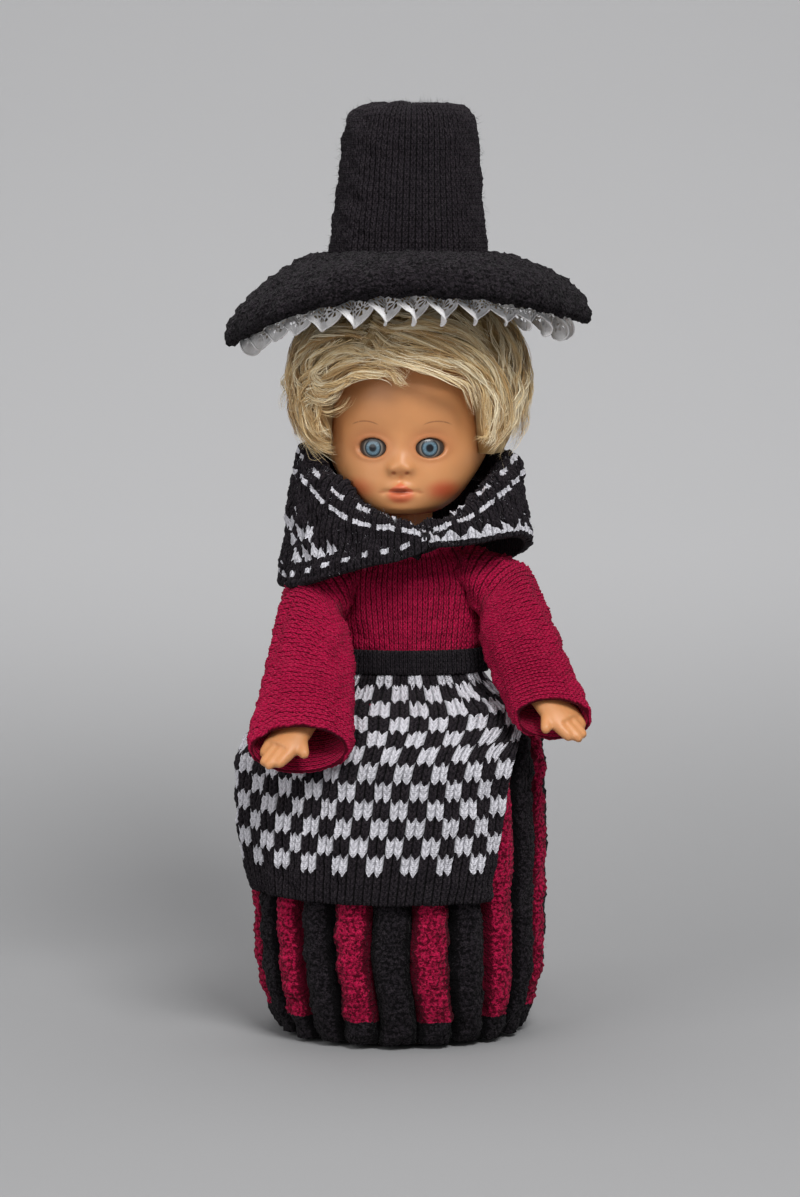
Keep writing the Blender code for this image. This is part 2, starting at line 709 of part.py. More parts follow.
def make_brim(material):
    """A padded ring with a rounded outer edge, around the crown's foot."""
    half = BRIM_THICKNESS / 2.0
    inner_radius = CROWN_BASE_RADIUS + GAP
    section = [(inner_radius, -half + 1.0), (inner_radius, half - 1.0)]
    section += [(44.0, half), (BRIM_RADIUS - half - 4.0, half * 0.96)]
    for angle in (60.0, 30.0, 0.0, -30.0, -60.0):
        turn = math.radians(angle)
        section.append((BRIM_RADIUS - half * (1.0 - math.cos(turn)), half * math.sin(turn)))
    section += [(BRIM_RADIUS - half - 4.0, -half * 0.96), (44.0, -half)]
    rings = []
    for radius, offset in section:
        rings.append([
            azimuth_point(a, radius, brim_middle_z(a, radius) + offset) for a in azimuths(ROUND_SIDES)
        ])
    return loft("hat_brim", rings, material, looped=True)


def lace_point(azimuth, share, layer):
    """A point of the frill: it hangs out and down under the brim in waves."""
    wave = math.sin(LACE_WAVES * azimuth)
    radius = LACE_RADIUS + share * (3.5 + LACE_WAVE_HEIGHT * wave) + layer * LACE_THICKNESS * 0.5
    top = brim_middle_z(azimuth, LACE_RADIUS) - BRIM_THICKNESS / 2.0 - GAP - 0.4
    return azimuth_point(azimuth, radius, top - share * LACE_WIDTH)


def make_lace(material):
    sides = LACE_WAVES * 4
    rings = []
    for share, layer in ((0.0, 1.0), (1.0, 1.0), (1.0, -1.0), (0.0, -1.0)):
        rings.append([lace_point(a, share, layer) for a in azimuths(sides)])
    return loft("lace_frill", rings, material, looped=True)


# Skirt and apron

SKIRT_TOP_Z = WAIST_Z - GAP
# Rows of height and radius over the ribs' crests
SKIRT_PROFILE = [
    (SKIRT_HEM_Z, SKIRT_HEM_RADIUS),
    (6.0, SKIRT_HEM_RADIUS + 3.0),
    (15.0, SKIRT_RADIUS - 4.0),
    (0.41 * WAIST_Z, SKIRT_RADIUS),
    (WAIST_Z - 47.0, SKIRT_RADIUS - 0.5),
    (WAIST_Z - 28.0, SKIRT_RADIUS - 2.5),
    (WAIST_Z - 17.0, SKIRT_RADIUS - 12.5),
    (WAIST_Z - 8.0, SKIRT_RADIUS - 22.0),
    (SKIRT_TOP_Z - 1.5, SKIRT_TOP_RADIUS + 3.0),
    (SKIRT_TOP_Z, SKIRT_TOP_RADIUS),
]


def skirt_center_x(z):
    return SKIRT_OFFSET_X * (1.0 - eased(z, 0.75 * WAIST_Z, WAIST_Z))


def rib_height(azimuth):
    """1 on a rib's crest and 0 in the valley between two ribs."""
    return abs(math.cos(RIB_COUNT / 2.0 * (azimuth - RIB_FIRST_AZIMUTH))) ** 0.7


def rib_sway(azimuth, z):
    """How far the ribs lean towards the doll's left near the hem."""
    share = 0.25 + 0.75 * eased(math.sin(azimuth), -0.4, 0.4)
    return RIB_SWAY * share * (1.0 - eased(z, 0.0, 0.3 * WAIST_Z))


def skirt_point(azimuth, radius, z):
    """A point of the skirt, which is a little flatter from front to back than wide."""
    return Vector((
        skirt_center_x(z) + radius * math.sin(azimuth),
        -SKIRT_DEPTH_SHARE * radius * math.cos(azimuth),
        z,
    ))


def skirt_ring(z, crest, depth):
    """One ring with four sides to a rib, so that a corner is on every crest and valley."""
    ring = []
    for turn in azimuths(RIB_COUNT * 4):
        a = turn + RIB_FIRST_AZIMUTH
        ring.append(skirt_point(a + rib_sway(a, z), crest - depth * (1.0 - rib_height(a)), z))
    return ring


def make_skirt(material):
    """One knitted piece with fat upright ribs, open at the waist and the hem."""
    outer, inner = [], []
    for z, crest in SKIRT_PROFILE:
        depth = RIB_DEPTH * min(1.0, (crest - SKIRT_TOP_RADIUS) / 15.0)
        depth *= RIB_HEM_SHARE + (1.0 - RIB_HEM_SHARE) * eased(z, SKIRT_HEM_Z, 12.0)
        wall = SKIRT_WALL if crest > SKIRT_TOP_RADIUS + 5.0 else SKIRT_WALL * 0.9
        outer.append(skirt_ring(z, crest, depth))
        inner.append(skirt_ring(z, crest - depth - wall, 0.0))
    picked = inner[:1] + inner[3:-2:2] + inner[-2:]
    return loft("skirt", outer + picked[::-1], material, looped=True)


def make_waistband(material):
    """The apron's band, around the bodice above the skirt."""
    rings_inner, rings_outer = [], []
    for z in (WAIST_Z, WAIST_Z + WAISTBAND_HEIGHT):
        width, depth = smooth_table(bodice_profile(), z)
        width += BODICE_WALL + GAP
        depth += BODICE_WALL + GAP
        rings_inner.append(oval_ring(z, width, depth))
        rings_outer.append(oval_ring(z, width + WAISTBAND_WALL, depth + WAISTBAND_WALL))
    return loft("apron_waistband", rings_outer + rings_inner[::-1], material, looped=True)


# Rows of height and the azimuths of the apron's right and left edges in degrees
APRON_HEIGHT = WAIST_Z - APRON_HEM_Z
APRON_EDGES = [
    (APRON_HEM_Z, -76.0, 36.0),
    (APRON_HEM_Z + 0.33 * APRON_HEIGHT, -76.0, 41.0),
    (APRON_HEM_Z + 0.7 * APRON_HEIGHT, -76.0, 49.0),
    (APRON_HEM_Z + 0.85 * APRON_HEIGHT, -78.0, 60.0),
    (WAIST_Z, -80.0, 74.0),
]


def apron_flare(azimuth, z):
    """How far the apron stands off the skirt near its right-hand edge."""
    height = (z - APRON_HEM_Z) / APRON_HEIGHT
    side = eased(-azimuth, math.radians(28.0), math.radians(75.0))
    return APRON_FLARE * side * math.sin(math.pi * min(height * 1.1, 1.0))


def make_apron(material):
    """The apron's panel, lying on the skirt's ribs from the band to its hem."""
    heights = [APRON_HEM_Z] + [z for z, _ in SKIRT_PROFILE if z > APRON_HEM_Z]
    strips = []
    for share in np.linspace(0.0, 1.0, APRON_STRIPS):
        outer, inner = [], []
        for z in heights:
            level = z - (GAP if z == heights[-1] else 0.0)
            right, left = smooth_table(APRON_EDGES, level)
            azimuth = math.radians(right + (left - right) * share)
            crest = smooth_table(SKIRT_PROFILE, level)[0]
            slope = crest - smooth_table(SKIRT_PROFILE, level - 1.0)[0]
            lift = (GAP + 0.15) * math.hypot(1.0, slope) / SKIRT_DEPTH_SHARE
            lift += apron_flare(azimuth, z)
            inner.append(skirt_point(azimuth, crest + lift, level))
            outer.append(skirt_point(azimuth, crest + lift + APRON_WALL, level))
        strips.append(outer + inner[::-1])
    return loft("apron_panel", strips, material)


# Shawl

def collar_height(azimuth):
    """Rim of the shawl: low under the chin, high at the sides and the back."""
    away = abs(math.atan2(math.sin(azimuth), math.cos(azimuth)))
    return COLLAR_LOW_Z + (COLLAR_TOP_Z - COLLAR_LOW_Z) * eased(away, math.radians(8.0), math.radians(88.0))


def shawl_edge_z(azimuth):
    """Lower edge of the shawl, higher over the doll's left arm."""
    side = math.sin(azimuth)
    front = 0.5 + 0.5 * math.cos(azimuth)
    return SHOULDER_Z + (6.0 if side < 0.0 else 12.0) * front + (14.0 if side > 0.0 else -1.0) * side ** 2


BODICE_TOP_Z = TORSO_PROFILE[-2][0] + GAP + BODICE_WALL


def shawl_section(azimuth):
    """Points of the shawl's outer surface, from the neck over the collar to the edge."""
    neck = NECK_RADIUS + 4.6
    wall_radius = oval(azimuth, COLLAR_RADIUS, COLLAR_FRONT, COLLAR_RADIUS)
    rim_z = collar_height(azimuth)
    rise = (rim_z - COLLAR_LOW_Z) / (COLLAR_TOP_Z - COLLAR_LOW_Z)
    edge_z = shawl_edge_z(azimuth)
    fold = oval(azimuth, SHAWL_HALF_WIDTH - 2.0, SHAWL_FRONT - 1.0, SHAWL_BACK - 1.0)
    hem = oval(azimuth, SHAWL_HALF_WIDTH, SHAWL_FRONT, SHAWL_BACK)
    return [
        (neck, BODICE_TOP_Z + GAP + SHAWL_WALL),
        (wall_radius - 3.0, COLLAR_LOW_Z - 0.7),
        (wall_radius, COLLAR_LOW_Z + 0.3 + 3.0 * rise),
        (wall_radius + 2.0 * rise + 1.0, rim_z + 0.4 * (1.0 - rise)),
        (wall_radius + 3.4 + 2.0 * rise, rim_z - 0.6),
        (0.35 * wall_radius + 0.65 * fold + 1.0, 0.42 * rim_z + 0.58 * (COLLAR_LOW_Z - 4.0)),
        (fold, max(SHOULDER_Z + 13.0, edge_z + 2.0)),
        (hem, edge_z),
    ]


def offset_section(section, wall):
    """The same line moved to its right-hand side, the shawl's underside."""
    moved = []
    for i, (radius, z) in enumerate(section):
        before = section[max(i - 1, 0)]
        after = section[min(i + 1, len(section) - 1)]
        along_r, along_z = after[0] - before[0], after[1] - before[1]
        length = math.hypot(along_r, along_z) or 1.0
        moved.append((radius + wall * along_z / length, z - wall * along_r / length))
    return moved


def make_shawl(material):
    """A knitted cape with its collar turned up around the neck."""
    turns = azimuths(SHAWL_SIDES)
    sections = []
    for azimuth in turns:
        top = shawl_section(azimuth)
        sections.append(top + offset_section(top, SHAWL_WALL)[::-1])
    rings = []
    for spots in zip(*sections):
        rings.append([azimuth_point(azimuth, *spot) for azimuth, spot in zip(turns, spots)])
    return loft("shawl", rings, material, looped=True)


def make_fastener(material):
    """The small round fastener on the front of the shawl."""
    azimuth = math.radians(10.0)
    z = shawl_edge_z(azimuth) + FASTENER_RADIUS + 1.5
    falling = shawl_section(azimuth)[:3:-1]
    radius = float(np.interp(z, [spot[1] for spot in falling], [spot[0] for spot in falling]))
    center = azimuth_point(azimuth, radius + 2.0 * GAP, z)
    outward = azimuth_point(azimuth, 1.0, 0.0)
    across = Vector((0.0, 0.0, 1.0)).cross(outward)
    rings = []
    for depth, share in ((0.0, 0.8), (0.8, 1.0), (1.6, 0.6)):
        size = FASTENER_RADIUS * share
        rings.append(frame_ring(center + outward * depth, across, Vector((0.0, 0.0, 1.0)), size, size, 16))
    return loft("shawl_fastener", rings, material)


def build_body(skin):
    make_torso(skin)
    for side, label in ((-1.0, "right"), (1.0, "left")):
        make_leg(side, label, skin)
    for route in ARMS:
        make_arm(route, skin)


def build_head(skin):
    eye_glass = make_material("eye_glass", (0.09, 0.16, 0.2), 0.15)
    hair_fibre = make_material("hair_fibre", (0.42, 0.27, 0.11), 0.45)
    head = make_head(skin)
    for side, label in ((-1.0, "right"), (1.0, "left")):
        make_eye(f"eye_{label}", side, 0.0, eye_glass)
        boolean(head, make_eye(f"eye_socket_{label}", side, GAP, skin), "DIFFERENCE")
    make_hair(hair_fibre)


def build_dress():
    crimson = make_material("crimson_wool", CRIMSON, 0.9)
    ribbed = make_material("ribbed_wool", CRIMSON, 0.9)
    make_bodice(crimson)
    make_skirt(ribbed)
    for route in ARMS:
        make_sleeve(route, crimson)


def build_apron_and_shawl():
    black = make_material("black_wool", BLACK_WOOL, 0.92)
    checked = make_material("checked_wool", (0.32, 0.31, 0.33), 0.92)
    make_waistband(black)
    make_apron(checked)
    make_shawl(black)
    make_fastener(make_material("fastener_metal", (0.02, 0.02, 0.02), 0.4, 1.0))


def build_hat():
    hat_wool = make_material("hat_wool", BLACK_WOOL, 0.95)
    make_crown(hat_wool)
    make_brim(hat_wool)
    make_stuffing(make_material("stuffing", (0.75, 0.73, 0.68), 0.95))
    make_lace(make_material("lace_cotton", (0.82, 0.8, 0.8), 0.8))


def main():
    clear_scene()
    skin = make_material("skin_vinyl", SKIN, 0.42)
    build_body(skin)
    build_head(skin)
    build_dress()
    build_apron_and_shawl()
    build_hat()


main()
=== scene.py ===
"""Vinyl doll in a knitted folk costume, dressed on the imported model.

Lengths in this file are millimetres and become metres when a mesh is made. The
doll faces -Y. An azimuth of 0 points to the front and a positive one turns towards
+X, the doll's own left.
"""

import math

import bpy
import numpy as np
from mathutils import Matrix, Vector


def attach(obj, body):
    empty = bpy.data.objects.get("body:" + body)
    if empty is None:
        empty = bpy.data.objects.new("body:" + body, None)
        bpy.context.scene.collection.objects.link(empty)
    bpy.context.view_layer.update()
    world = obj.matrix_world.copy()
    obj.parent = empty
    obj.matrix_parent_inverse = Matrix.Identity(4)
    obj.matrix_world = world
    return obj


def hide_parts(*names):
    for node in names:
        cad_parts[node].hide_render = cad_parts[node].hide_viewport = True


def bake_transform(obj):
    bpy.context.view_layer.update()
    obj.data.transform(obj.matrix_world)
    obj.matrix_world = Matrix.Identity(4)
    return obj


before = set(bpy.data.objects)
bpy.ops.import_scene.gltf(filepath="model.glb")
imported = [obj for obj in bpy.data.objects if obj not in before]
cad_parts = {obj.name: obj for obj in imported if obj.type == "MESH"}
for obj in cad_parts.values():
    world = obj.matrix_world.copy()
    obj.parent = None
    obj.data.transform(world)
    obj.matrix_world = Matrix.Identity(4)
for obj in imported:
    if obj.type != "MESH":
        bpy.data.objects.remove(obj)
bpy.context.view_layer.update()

bl_info = {
    "name": "Knitted costume doll",
    "version": (1, 0, 0),
    "blender": (4, 5, 0),
    "location": "3D View > Sidebar > Doll",
    "description": "Builds a vinyl doll in a knitted costume around its packed model",
    "category": "Object",
}

MM = 0.001
TAU = 2.0 * math.pi

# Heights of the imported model
WAIST_Z = 147.0
SHOULDER_Z = 186.0
EYE_Z = 236.0
BRIM_SEAT_Z = 307.0

# Camera of the photograph
CAMERA_SPOT = (-0.003, -1.47, 0.308)
CAMERA_PITCH = math.radians(5.2)
CAMERA_ANGLE = math.radians(18.45)


# Shader arithmetic

def join(tree, socket, value):
    """Link a wire to a socket, or set the socket's own value."""
    if isinstance(value, Wire):
        tree.links.new(value.socket, socket)
    elif isinstance(value, tuple) and len(value) == 3 and len(socket.default_value) == 4:
        socket.default_value = (*value, 1.0)
    else:
        socket.default_value = value


def arithmetic(tree, operation, *values):
    node = tree.nodes.new("ShaderNodeMath")
    node.operation = operation
    for socket, value in zip(node.inputs, values):
        join(tree, socket, value)
    return Wire(tree, node.outputs[0])


class Wire:
    """A node's output that can be used in Python arithmetic."""

    def __init__(self, tree, socket):
        self.tree = tree
        self.socket = socket

    def __add__(self, other):
        return arithmetic(self.tree, "ADD", self, other)

    def __sub__(self, other):
        return arithmetic(self.tree, "SUBTRACT", self, other)

    def __rsub__(self, other):
        return arithmetic(self.tree, "SUBTRACT", other, self)

    def __mul__(self, other):
        return arithmetic(self.tree, "MULTIPLY", self, other)

    def __truediv__(self, other):
        return arithmetic(self.tree, "DIVIDE", self, other)

    def __pow__(self, other):
        return arithmetic(self.tree, "POWER", self, other)

    def __abs__(self):
        return arithmetic(self.tree, "ABSOLUTE", self)

    __radd__ = __add__
    __rmul__ = __mul__

    def floor(self):
        return arithmetic(self.tree, "FLOOR", self)

    def fract(self):
        return arithmetic(self.tree, "FRACT", self)

    def sine(self):
        return arithmetic(self.tree, "SINE", self)

    def at_least(self, other):
        return arithmetic(self.tree, "MAXIMUM", self, other)

    def at_most(self, other):
        return arithmetic(self.tree, "MINIMUM", self, other)

    def above(self, other):
        return arithmetic(self.tree, "GREATER_THAN", self, other)

    def below(self, other):
        return arithmetic(self.tree, "LESS_THAN", self, other)

    def cycle(self, length):
        return (self / length).fract() * length

    def ramp(self, low, high):
        """Smooth step from 0 at low to 1 at high."""
        node = self.tree.nodes.new("ShaderNodeMapRange")
        node.interpolation_type = "SMOOTHSTEP"
        join(self.tree, node.inputs["Value"], self)
        node.inputs["From Min"].default_value = low
        node.inputs["From Max"].default_value = high
        return Wire(self.tree, node.outputs["Result"])


class Finish:
    """One procedural material around its Principled shader."""

    def __init__(self, name, **constants):
        self.material = bpy.data.materials.new(name)
        self.material.use_nodes = True
        self.tree = self.material.node_tree
        self.shader = self.tree.nodes["Principled BSDF"]
        self.settings(constants)

    def settings(self, constants):
        """Set the shader's own sockets; an underscore stands for a space."""
        sockets = {socket.name.lower(): socket for socket in self.shader.inputs}
        for name, value in constants.items():
            join(self.tree, sockets[name.replace("_", " ")], value)

    def node(self, kind, settings, inputs, output=0):
        """Add any node; its settings come first, then its inputs by name or number."""
        made = self.tree.nodes.new(kind)
        for name, value in settings.items():
            setattr(made, name, value)
        for name, value in inputs.items():
            join(self.tree, made.inputs[name], value)
        return Wire(self.tree, made.outputs[output])

    def place(self):
        return self.node("ShaderNodeTexCoord", {}, {}, "Object")

    def split(self, vector):
        parts = self.tree.nodes.new("ShaderNodeSeparateXYZ")
        join(self.tree, parts.inputs[0], vector)
        return [Wire(self.tree, output) for output in parts.outputs]

    def uv(self):
        return self.split(self.node("ShaderNodeUVMap", {"uv_map": "cloth"}, {}))[:2]

    def noise(self, scale, detail=2.0, vector=None):
        spot = vector if vector is not None else self.place()
        return self.node("ShaderNodeTexNoise", {}, {"Vector": spot, "Scale": scale, "Detail": detail})

    def mix(self, factor, first, second):
        settings = {"data_type": "RGBA"}
        return self.node("ShaderNodeMix", settings, {0: factor, 6: first, 7: second}, 2)

    def tinted(self, name):
        return self.node("ShaderNodeAttribute", {"attribute_name": name}, {}, "Fac")

    def bump(self, height, distance, strength=1.0):
        inputs = {"Strength": strength, "Distance": distance * MM, "Height": height}
        return self.node("ShaderNodeBump", {}, inputs)

    def feed(self, **wires):
        self.settings(wires)
        return self.material


def hex_tone(code):
    """Linear colour of a six-digit screen colour."""
    channels = [int(code[i:i + 2], 16) / 255.0 for i in (0, 2, 4)]
    return tuple(((c + 0.055) / 1.055) ** 2.4 if c > 0.04045 else c / 12.92 for c in channels)


def darker(color, share):
    return tuple(channel * share for channel in color)


# Numbers on surfaces

def polar(azimuth, radius, z, center_x=0.0):
    return np.stack([center_x + radius * np.sin(azimuth), -radius * np.cos(azimuth), z + 0.0 * azimuth], -1)


def oval(azimuth, half_width, front, back):
    depth = np.where(np.cos(azimuth) > 0.0, front, back)
    return 1.0 / np.hypot(np.sin(azimuth) / half_width, np.cos(azimuth) / depth)


def eased(value, low, high):
    t = np.clip((value - low) / (high - low), 0.0, 1.0)
    return t * t * (3.0 - 2.0 * t)


def hill(value, middle, width):
    return np.exp(-((value - middle) / width) ** 2)


def curve(rows, column, value):
    """One column of a table, read smoothly at any value of its first column."""
    table = np.asarray(rows, float)
    x, y = table[:, 0], table[:, column]
    slope = np.gradient(y, x)
    value = np.asarray(value, float)
    k = np.clip(np.searchsorted(x, value) - 1, 0, len(x) - 2)
    span = x[k + 1] - x[k]
    t = np.clip((value - x[k]) / span, 0.0, 1.0)
    rise = y[k] + (y[k + 1] - y[k]) * t * t * (3.0 - 2.0 * t)
    return rise + span * (slope[k] * t * (1.0 - t) ** 2 - slope[k + 1] * t * t * (1.0 - t))


def path_through(controls, t):
    """Smooth point at share t of a path through control points that vary over a grid."""
    place = np.clip(t, 0.0, 1.0) * (len(controls) - 1)
    k = np.clip(place.astype(int), 0, len(controls) - 2)
    f = (place - k)[..., None]
    stack = np.stack([np.broadcast_to(c, t.shape + (3,)) for c in controls])
    rows, cols = np.indices(t.shape)

    def pick(offset):
        return stack[np.clip(k + offset, 0, len(controls) - 1), rows, cols]

    before, start, end, after = pick(-1), pick(0), pick(1), pick(2)
    return 0.5 * (
        2.0 * start
        + (end - before) * f
        + (2.0 * before - 5.0 * start + 4.0 * end - after) * f ** 2
        + (3.0 * start - before - 3.0 * end + after) * f ** 3
    )


def ripple(points, size, seed):
    """Smooth uneven value between about -1 and 1, with lumps of the given size."""
    rng = np.random.default_rng(seed)
    total = np.zeros(points.shape[:-1])
    for _ in range(6):
        direction = rng.normal(size=3)
        direction *= TAU / (size * np.linalg.norm(direction))
        total += np.sin(points @ direction + rng.uniform(0.0, TAU))
    return total / 2.5


def surface_normals(surface, s, t):
    """Unit normals of a surface function, by small steps."""
    step = 1e-4
    along_s = surface(s + step, t) - surface(s - step, t)
    along_t = surface(s, t + step) - surface(s, t - step)
    normal = np.cross(along_s, along_t)
    return normal / np.maximum(np.linalg.norm(normal, axis=-1, keepdims=True), 1e-12)


# Rows that a leg of a stitch rises over the width of one column
LEG_LEAN = 2.0


def stocking_relief(u, v):
    """Two slanting legs to a stitch, as on the right side of plain knitting."""
    side = np.abs(u % 1.0 - 0.5)
    step = v - side * LEG_LEAN
    leg = np.clip(np.sin(TAU * side), 0.0, 1.0)
    leg = np.where(side < 0.25, 0.45 + 0.55 * leg, leg)
    return np.sqrt(leg) * (0.7 + 0.3 * np.abs(np.sin(math.pi * step)))


def purl_relief(u, v):
    """Rows of short bumps, as on the wrong side of plain knitting."""
    shift = 0.5 * (np.floor(v) % 2.0)
    across = 0.35 + 0.65 * np.abs(np.sin(math.pi * (u + shift)))
    return (0.3 + 0.7 * np.abs(np.sin(math.pi * v))) * across


# Meshes

def add_object(name, mesh, material, body):
    """Add a piece that rides on a body, or on none."""
    mesh.materials.append(material)
    mesh.shade_smooth()
    made = bpy.data.objects.new(name, mesh)
    bpy.context.scene.collection.objects.link(made)
    if body:
        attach(made, body)
    return made


def grid_faces(rows, cols, wrap_u, wrap_v, flip):
    """Corner numbers of the quads of a grid, and the grid places of those corners."""
    i, j = np.meshgrid(
        np.arange(rows if wrap_v else rows - 1),
        np.arange(cols if wrap_u else cols - 1),
        indexing="ij",
    )
    i, j = i.ravel(), j.ravel()
    corners_i = np.stack([i, i, i + 1, i + 1], 1)
    corners_j = np.stack([j, j + 1, j + 1, j], 1)
    if flip:
        corners_i, corners_j = corners_i[:, ::-1], corners_j[:, ::-1]
    numbers = (corners_i % rows) * cols + corners_j % cols
    return numbers, corners_i, corners_j


def grid_mesh(name, points, u_values, v_values, wrap_u=True, wrap_v=False, flip=False, caps=False):
    """A mesh from a grid of points in millimetres, with its stitch numbers as its UV map."""
    rows, cols = points.shape[:2]
    numbers, corners_i, corners_j = grid_faces(rows, cols, wrap_u, wrap_v, flip)
    faces = numbers.tolist()
    places = []
    for values in (u_values, v_values):
        wide = np.concatenate([values, 2.0 * values[:, -1:] - values[:, -2:-1]], axis=1)
        places.append(np.concatenate([wide, wide[:1]]))
    coords = np.stack([values[corners_i, corners_j] for values in places], -1).reshape(-1, 2)
    if caps:
        first = np.arange(rows) * cols
        for end in (first[::-1], first + cols - 1):
            end = end[::-1] if flip else end
            faces.append(end.tolist())
            coords = np.concatenate([coords, np.stack([u_values.ravel()[end], v_values.ravel()[end]], -1)])
    mesh = bpy.data.meshes.new(name)
    mesh.from_pydata((points.reshape(-1, 3) * MM).tolist(), [], faces)
    layer = mesh.uv_layers.new(name="cloth")
    layer.data.foreach_set("uv", coords.ravel().astype(np.float32))
    return mesh


def even_grid(u_values, v_values):
    """Grids of column and row numbers from one line of each."""
    return np.meshgrid(u_values, v_values)


class Knit:
    """What a knitted piece is made with: its stitches, wall, relief and material."""

    def __init__(
        self, columns, courses, wall, material, relief, depth, detail=(4, 4), lumps=0.25, places=None,
    ):
        self.columns = columns
        self.courses = courses
        self.wall = wall
        self.material = material
        self.relief = relief
        self.depth = depth
        self.detail = detail
        self.lumps = lumps
        self.places = places or self.even_places

    def even_places(self, s, t):
        """Column and row numbers that are spread evenly over the piece."""
        return s * self.columns, t * self.courses


def knit_points(surface, knit, s, t, seed):
    """Outer points of a knitted piece at shares s and t, with its stitches and lumps."""
    points = surface(s, t)
    normal = surface_normals(surface, s, t)
    raised = knit.relief(*knit.places(s, t)) - 0.6
    uneven = (ripple(points, 9.0, seed) + 0.55 * ripple(points, 2.9, seed + 1)) * knit.lumps
    return points + normal * (raised * knit.depth + uneven)[..., None], normal


def knit_piece(name, surface, knit, body, wrap=True, flip=False, seed=1, turned=False, inner_rows=8):
    """A knitted piece with an outer face of stitches and a plain inner face."""
    cols = knit.columns * knit.detail[0] + (0 if wrap else 1)
    rows = knit.courses * knit.detail[1] + 1
    share_u = np.arange(cols) / (knit.columns * knit.detail[0])
    share_v = np.arange(rows) / (rows - 1)
    s, t = np.meshgrid(share_u, share_v)
    outer, normal = knit_points(surface, knit, s, t, seed)
    side = -1.0 if flip else 1.0
    edge = np.minimum(share_v, 1.0 - share_v) * knit.courses
    tuck = 0.35 * knit.wall * np.clip(1.0 - edge * 2.0, 0.0, 1.0)
    outer = outer if side > 0.0 else surface(s, t) - (outer - surface(s, t))
    outer = outer - side * normal * tuck[:, None, None]
    back_v = np.linspace(1.0, 0.0, inner_rows)
    s_back, t_back = np.meshgrid(share_u, back_v)
    inner = surface(s_back, t_back) - side * surface_normals(surface, s_back, t_back) * knit.wall
    points = np.concatenate([outer, inner])
    places = [np.concatenate(pair) for pair in zip(knit.places(s, t), knit.places(s_back, t_back))]
    mesh = grid_mesh(name, points, *places, wrap, True, flip, caps=not wrap)
    if turned:
        swap_uv(mesh)
    return add_object(name, mesh, knit.material, body)


def swap_uv(mesh):
    """Turn the stitches of a piece that is knitted from side to side."""
    data = np.zeros(len(mesh.loops) * 2, np.float32)
    layer = mesh.uv_layers["cloth"].data
    layer.foreach_get("uv", data)
    layer.foreach_set("uv", data.reshape(-1, 2)[:, ::-1].ravel())


def ribbon_mesh(name, paths, widths, facing, tints, keep):
    """Flat strands along paths; each is widest near its middle and ends in a point."""
    count, steps = paths.shape[:2]
    along = np.gradient(paths, axis=1)
    across = np.cross(along, facing)
    across /= np.maximum(np.linalg.norm(across, axis=-1, keepdims=True), 1e-9)
    share = np.linspace(0.0, 1.0, steps)
    taper = np.minimum(1.0, keep * np.sqrt(np.clip(1.0 - share, 0.0, 1.0)) + 0.04)
    half = 0.5 * widths[:, None, None] * taper[None, :, None]
    points = np.stack([paths - across * half, paths + across * half], 2)
    base = (np.arange(count) * steps * 2)[:, None, None]
    step = (np.arange(steps - 1) * 2)[None, :, None]
    faces = (base + step + np.array([0, 1, 3, 2])).reshape(-1, 4)
    mesh = bpy.data.meshes.new(name)
    mesh.from_pydata((points.reshape(-1, 3) * MM).tolist(), [], faces.tolist())
    attribute = mesh.attributes.new("tint", "FLOAT", "POINT")
    attribute.data.foreach_set("value", np.repeat(tints, steps * 2).astype(np.float32))
    return mesh


FUZZ_WIDTH = 0.09


def fuzz_piece(name, surface, material, body, count, length, seed):
    """Loose fibres that stand off a knitted surface."""
    rng = np.random.default_rng(seed)
    s, t = rng.uniform(0.0, 1.0, (1, count)), rng.uniform(0.01, 0.99, (1, count))
    roots = surface(s, t)[0]
    normal = surface_normals(surface, s, t)[0]
    lean = normal + rng.normal(0.0, 0.7, (count, 3))
    lean /= np.linalg.norm(lean, axis=1, keepdims=True)
    bend = rng.normal(0.0, 0.6, (count, 3))
    reach = rng.uniform(0.35, 1.0, (count, 1)) * length
    steps = np.linspace(0.0, 1.0, 4)[None, :, None]
    paths = roots[:, None] + (lean * reach)[:, None] * steps + (bend * reach)[:, None] * steps ** 2
    facing = np.broadcast_to(rng.normal(size=(count, 1, 3)), paths.shape)
    tints = rng.uniform(0.0, 1.0, count)
    mesh = ribbon_mesh(name, paths, np.full(count, FUZZ_WIDTH), facing, tints, 1.2)
    return add_object(name, mesh, material, body)


# Materials

def yarn_legs(paint):
    """Stitch column, height in rows and roundness of the yarn on plain knitting."""
    u, v = paint.uv()
    side = abs(u.fract() - 0.5)
    step = v - side * LEG_LEAN
    leg = (side * TAU).sine().at_least(0.0)
    leg = leg + 0.5 * (1.0 - leg) * side.below(0.25)
    body = leg * (0.5 + 0.5 * (step.fract() * math.pi).sine())
    ply = ((step * 3.0 + side * 5.0) * TAU).sine()
    return u, v, u.floor(), step, body.at_least(0.0) ** 0.9, ply


def yarn_bumps(paint):
    """Roundness of the yarn on purl rows."""
    u, v = paint.uv()
    bend_u, bend_v = paint.noise(330.0) - 0.5, paint.noise(410.0) - 0.5
    row, column = v + 1.6 * bend_v, u + 1.6 * bend_u
    shift = row.floor().cycle(2.0) * 0.5
    across = 0.35 + 0.65 * abs(((column + shift) * math.pi).sine())
    bump = (0.3 + 0.7 * (row.fract() * math.pi).sine()) * across
    moss = paint.noise(720.0, 2.0).ramp(0.35, 0.65)
    ply = ((u * 4.0 + v * 1.5) * TAU).sine()
    return u, v, 0.45 * bump + 0.55 * moss, ply


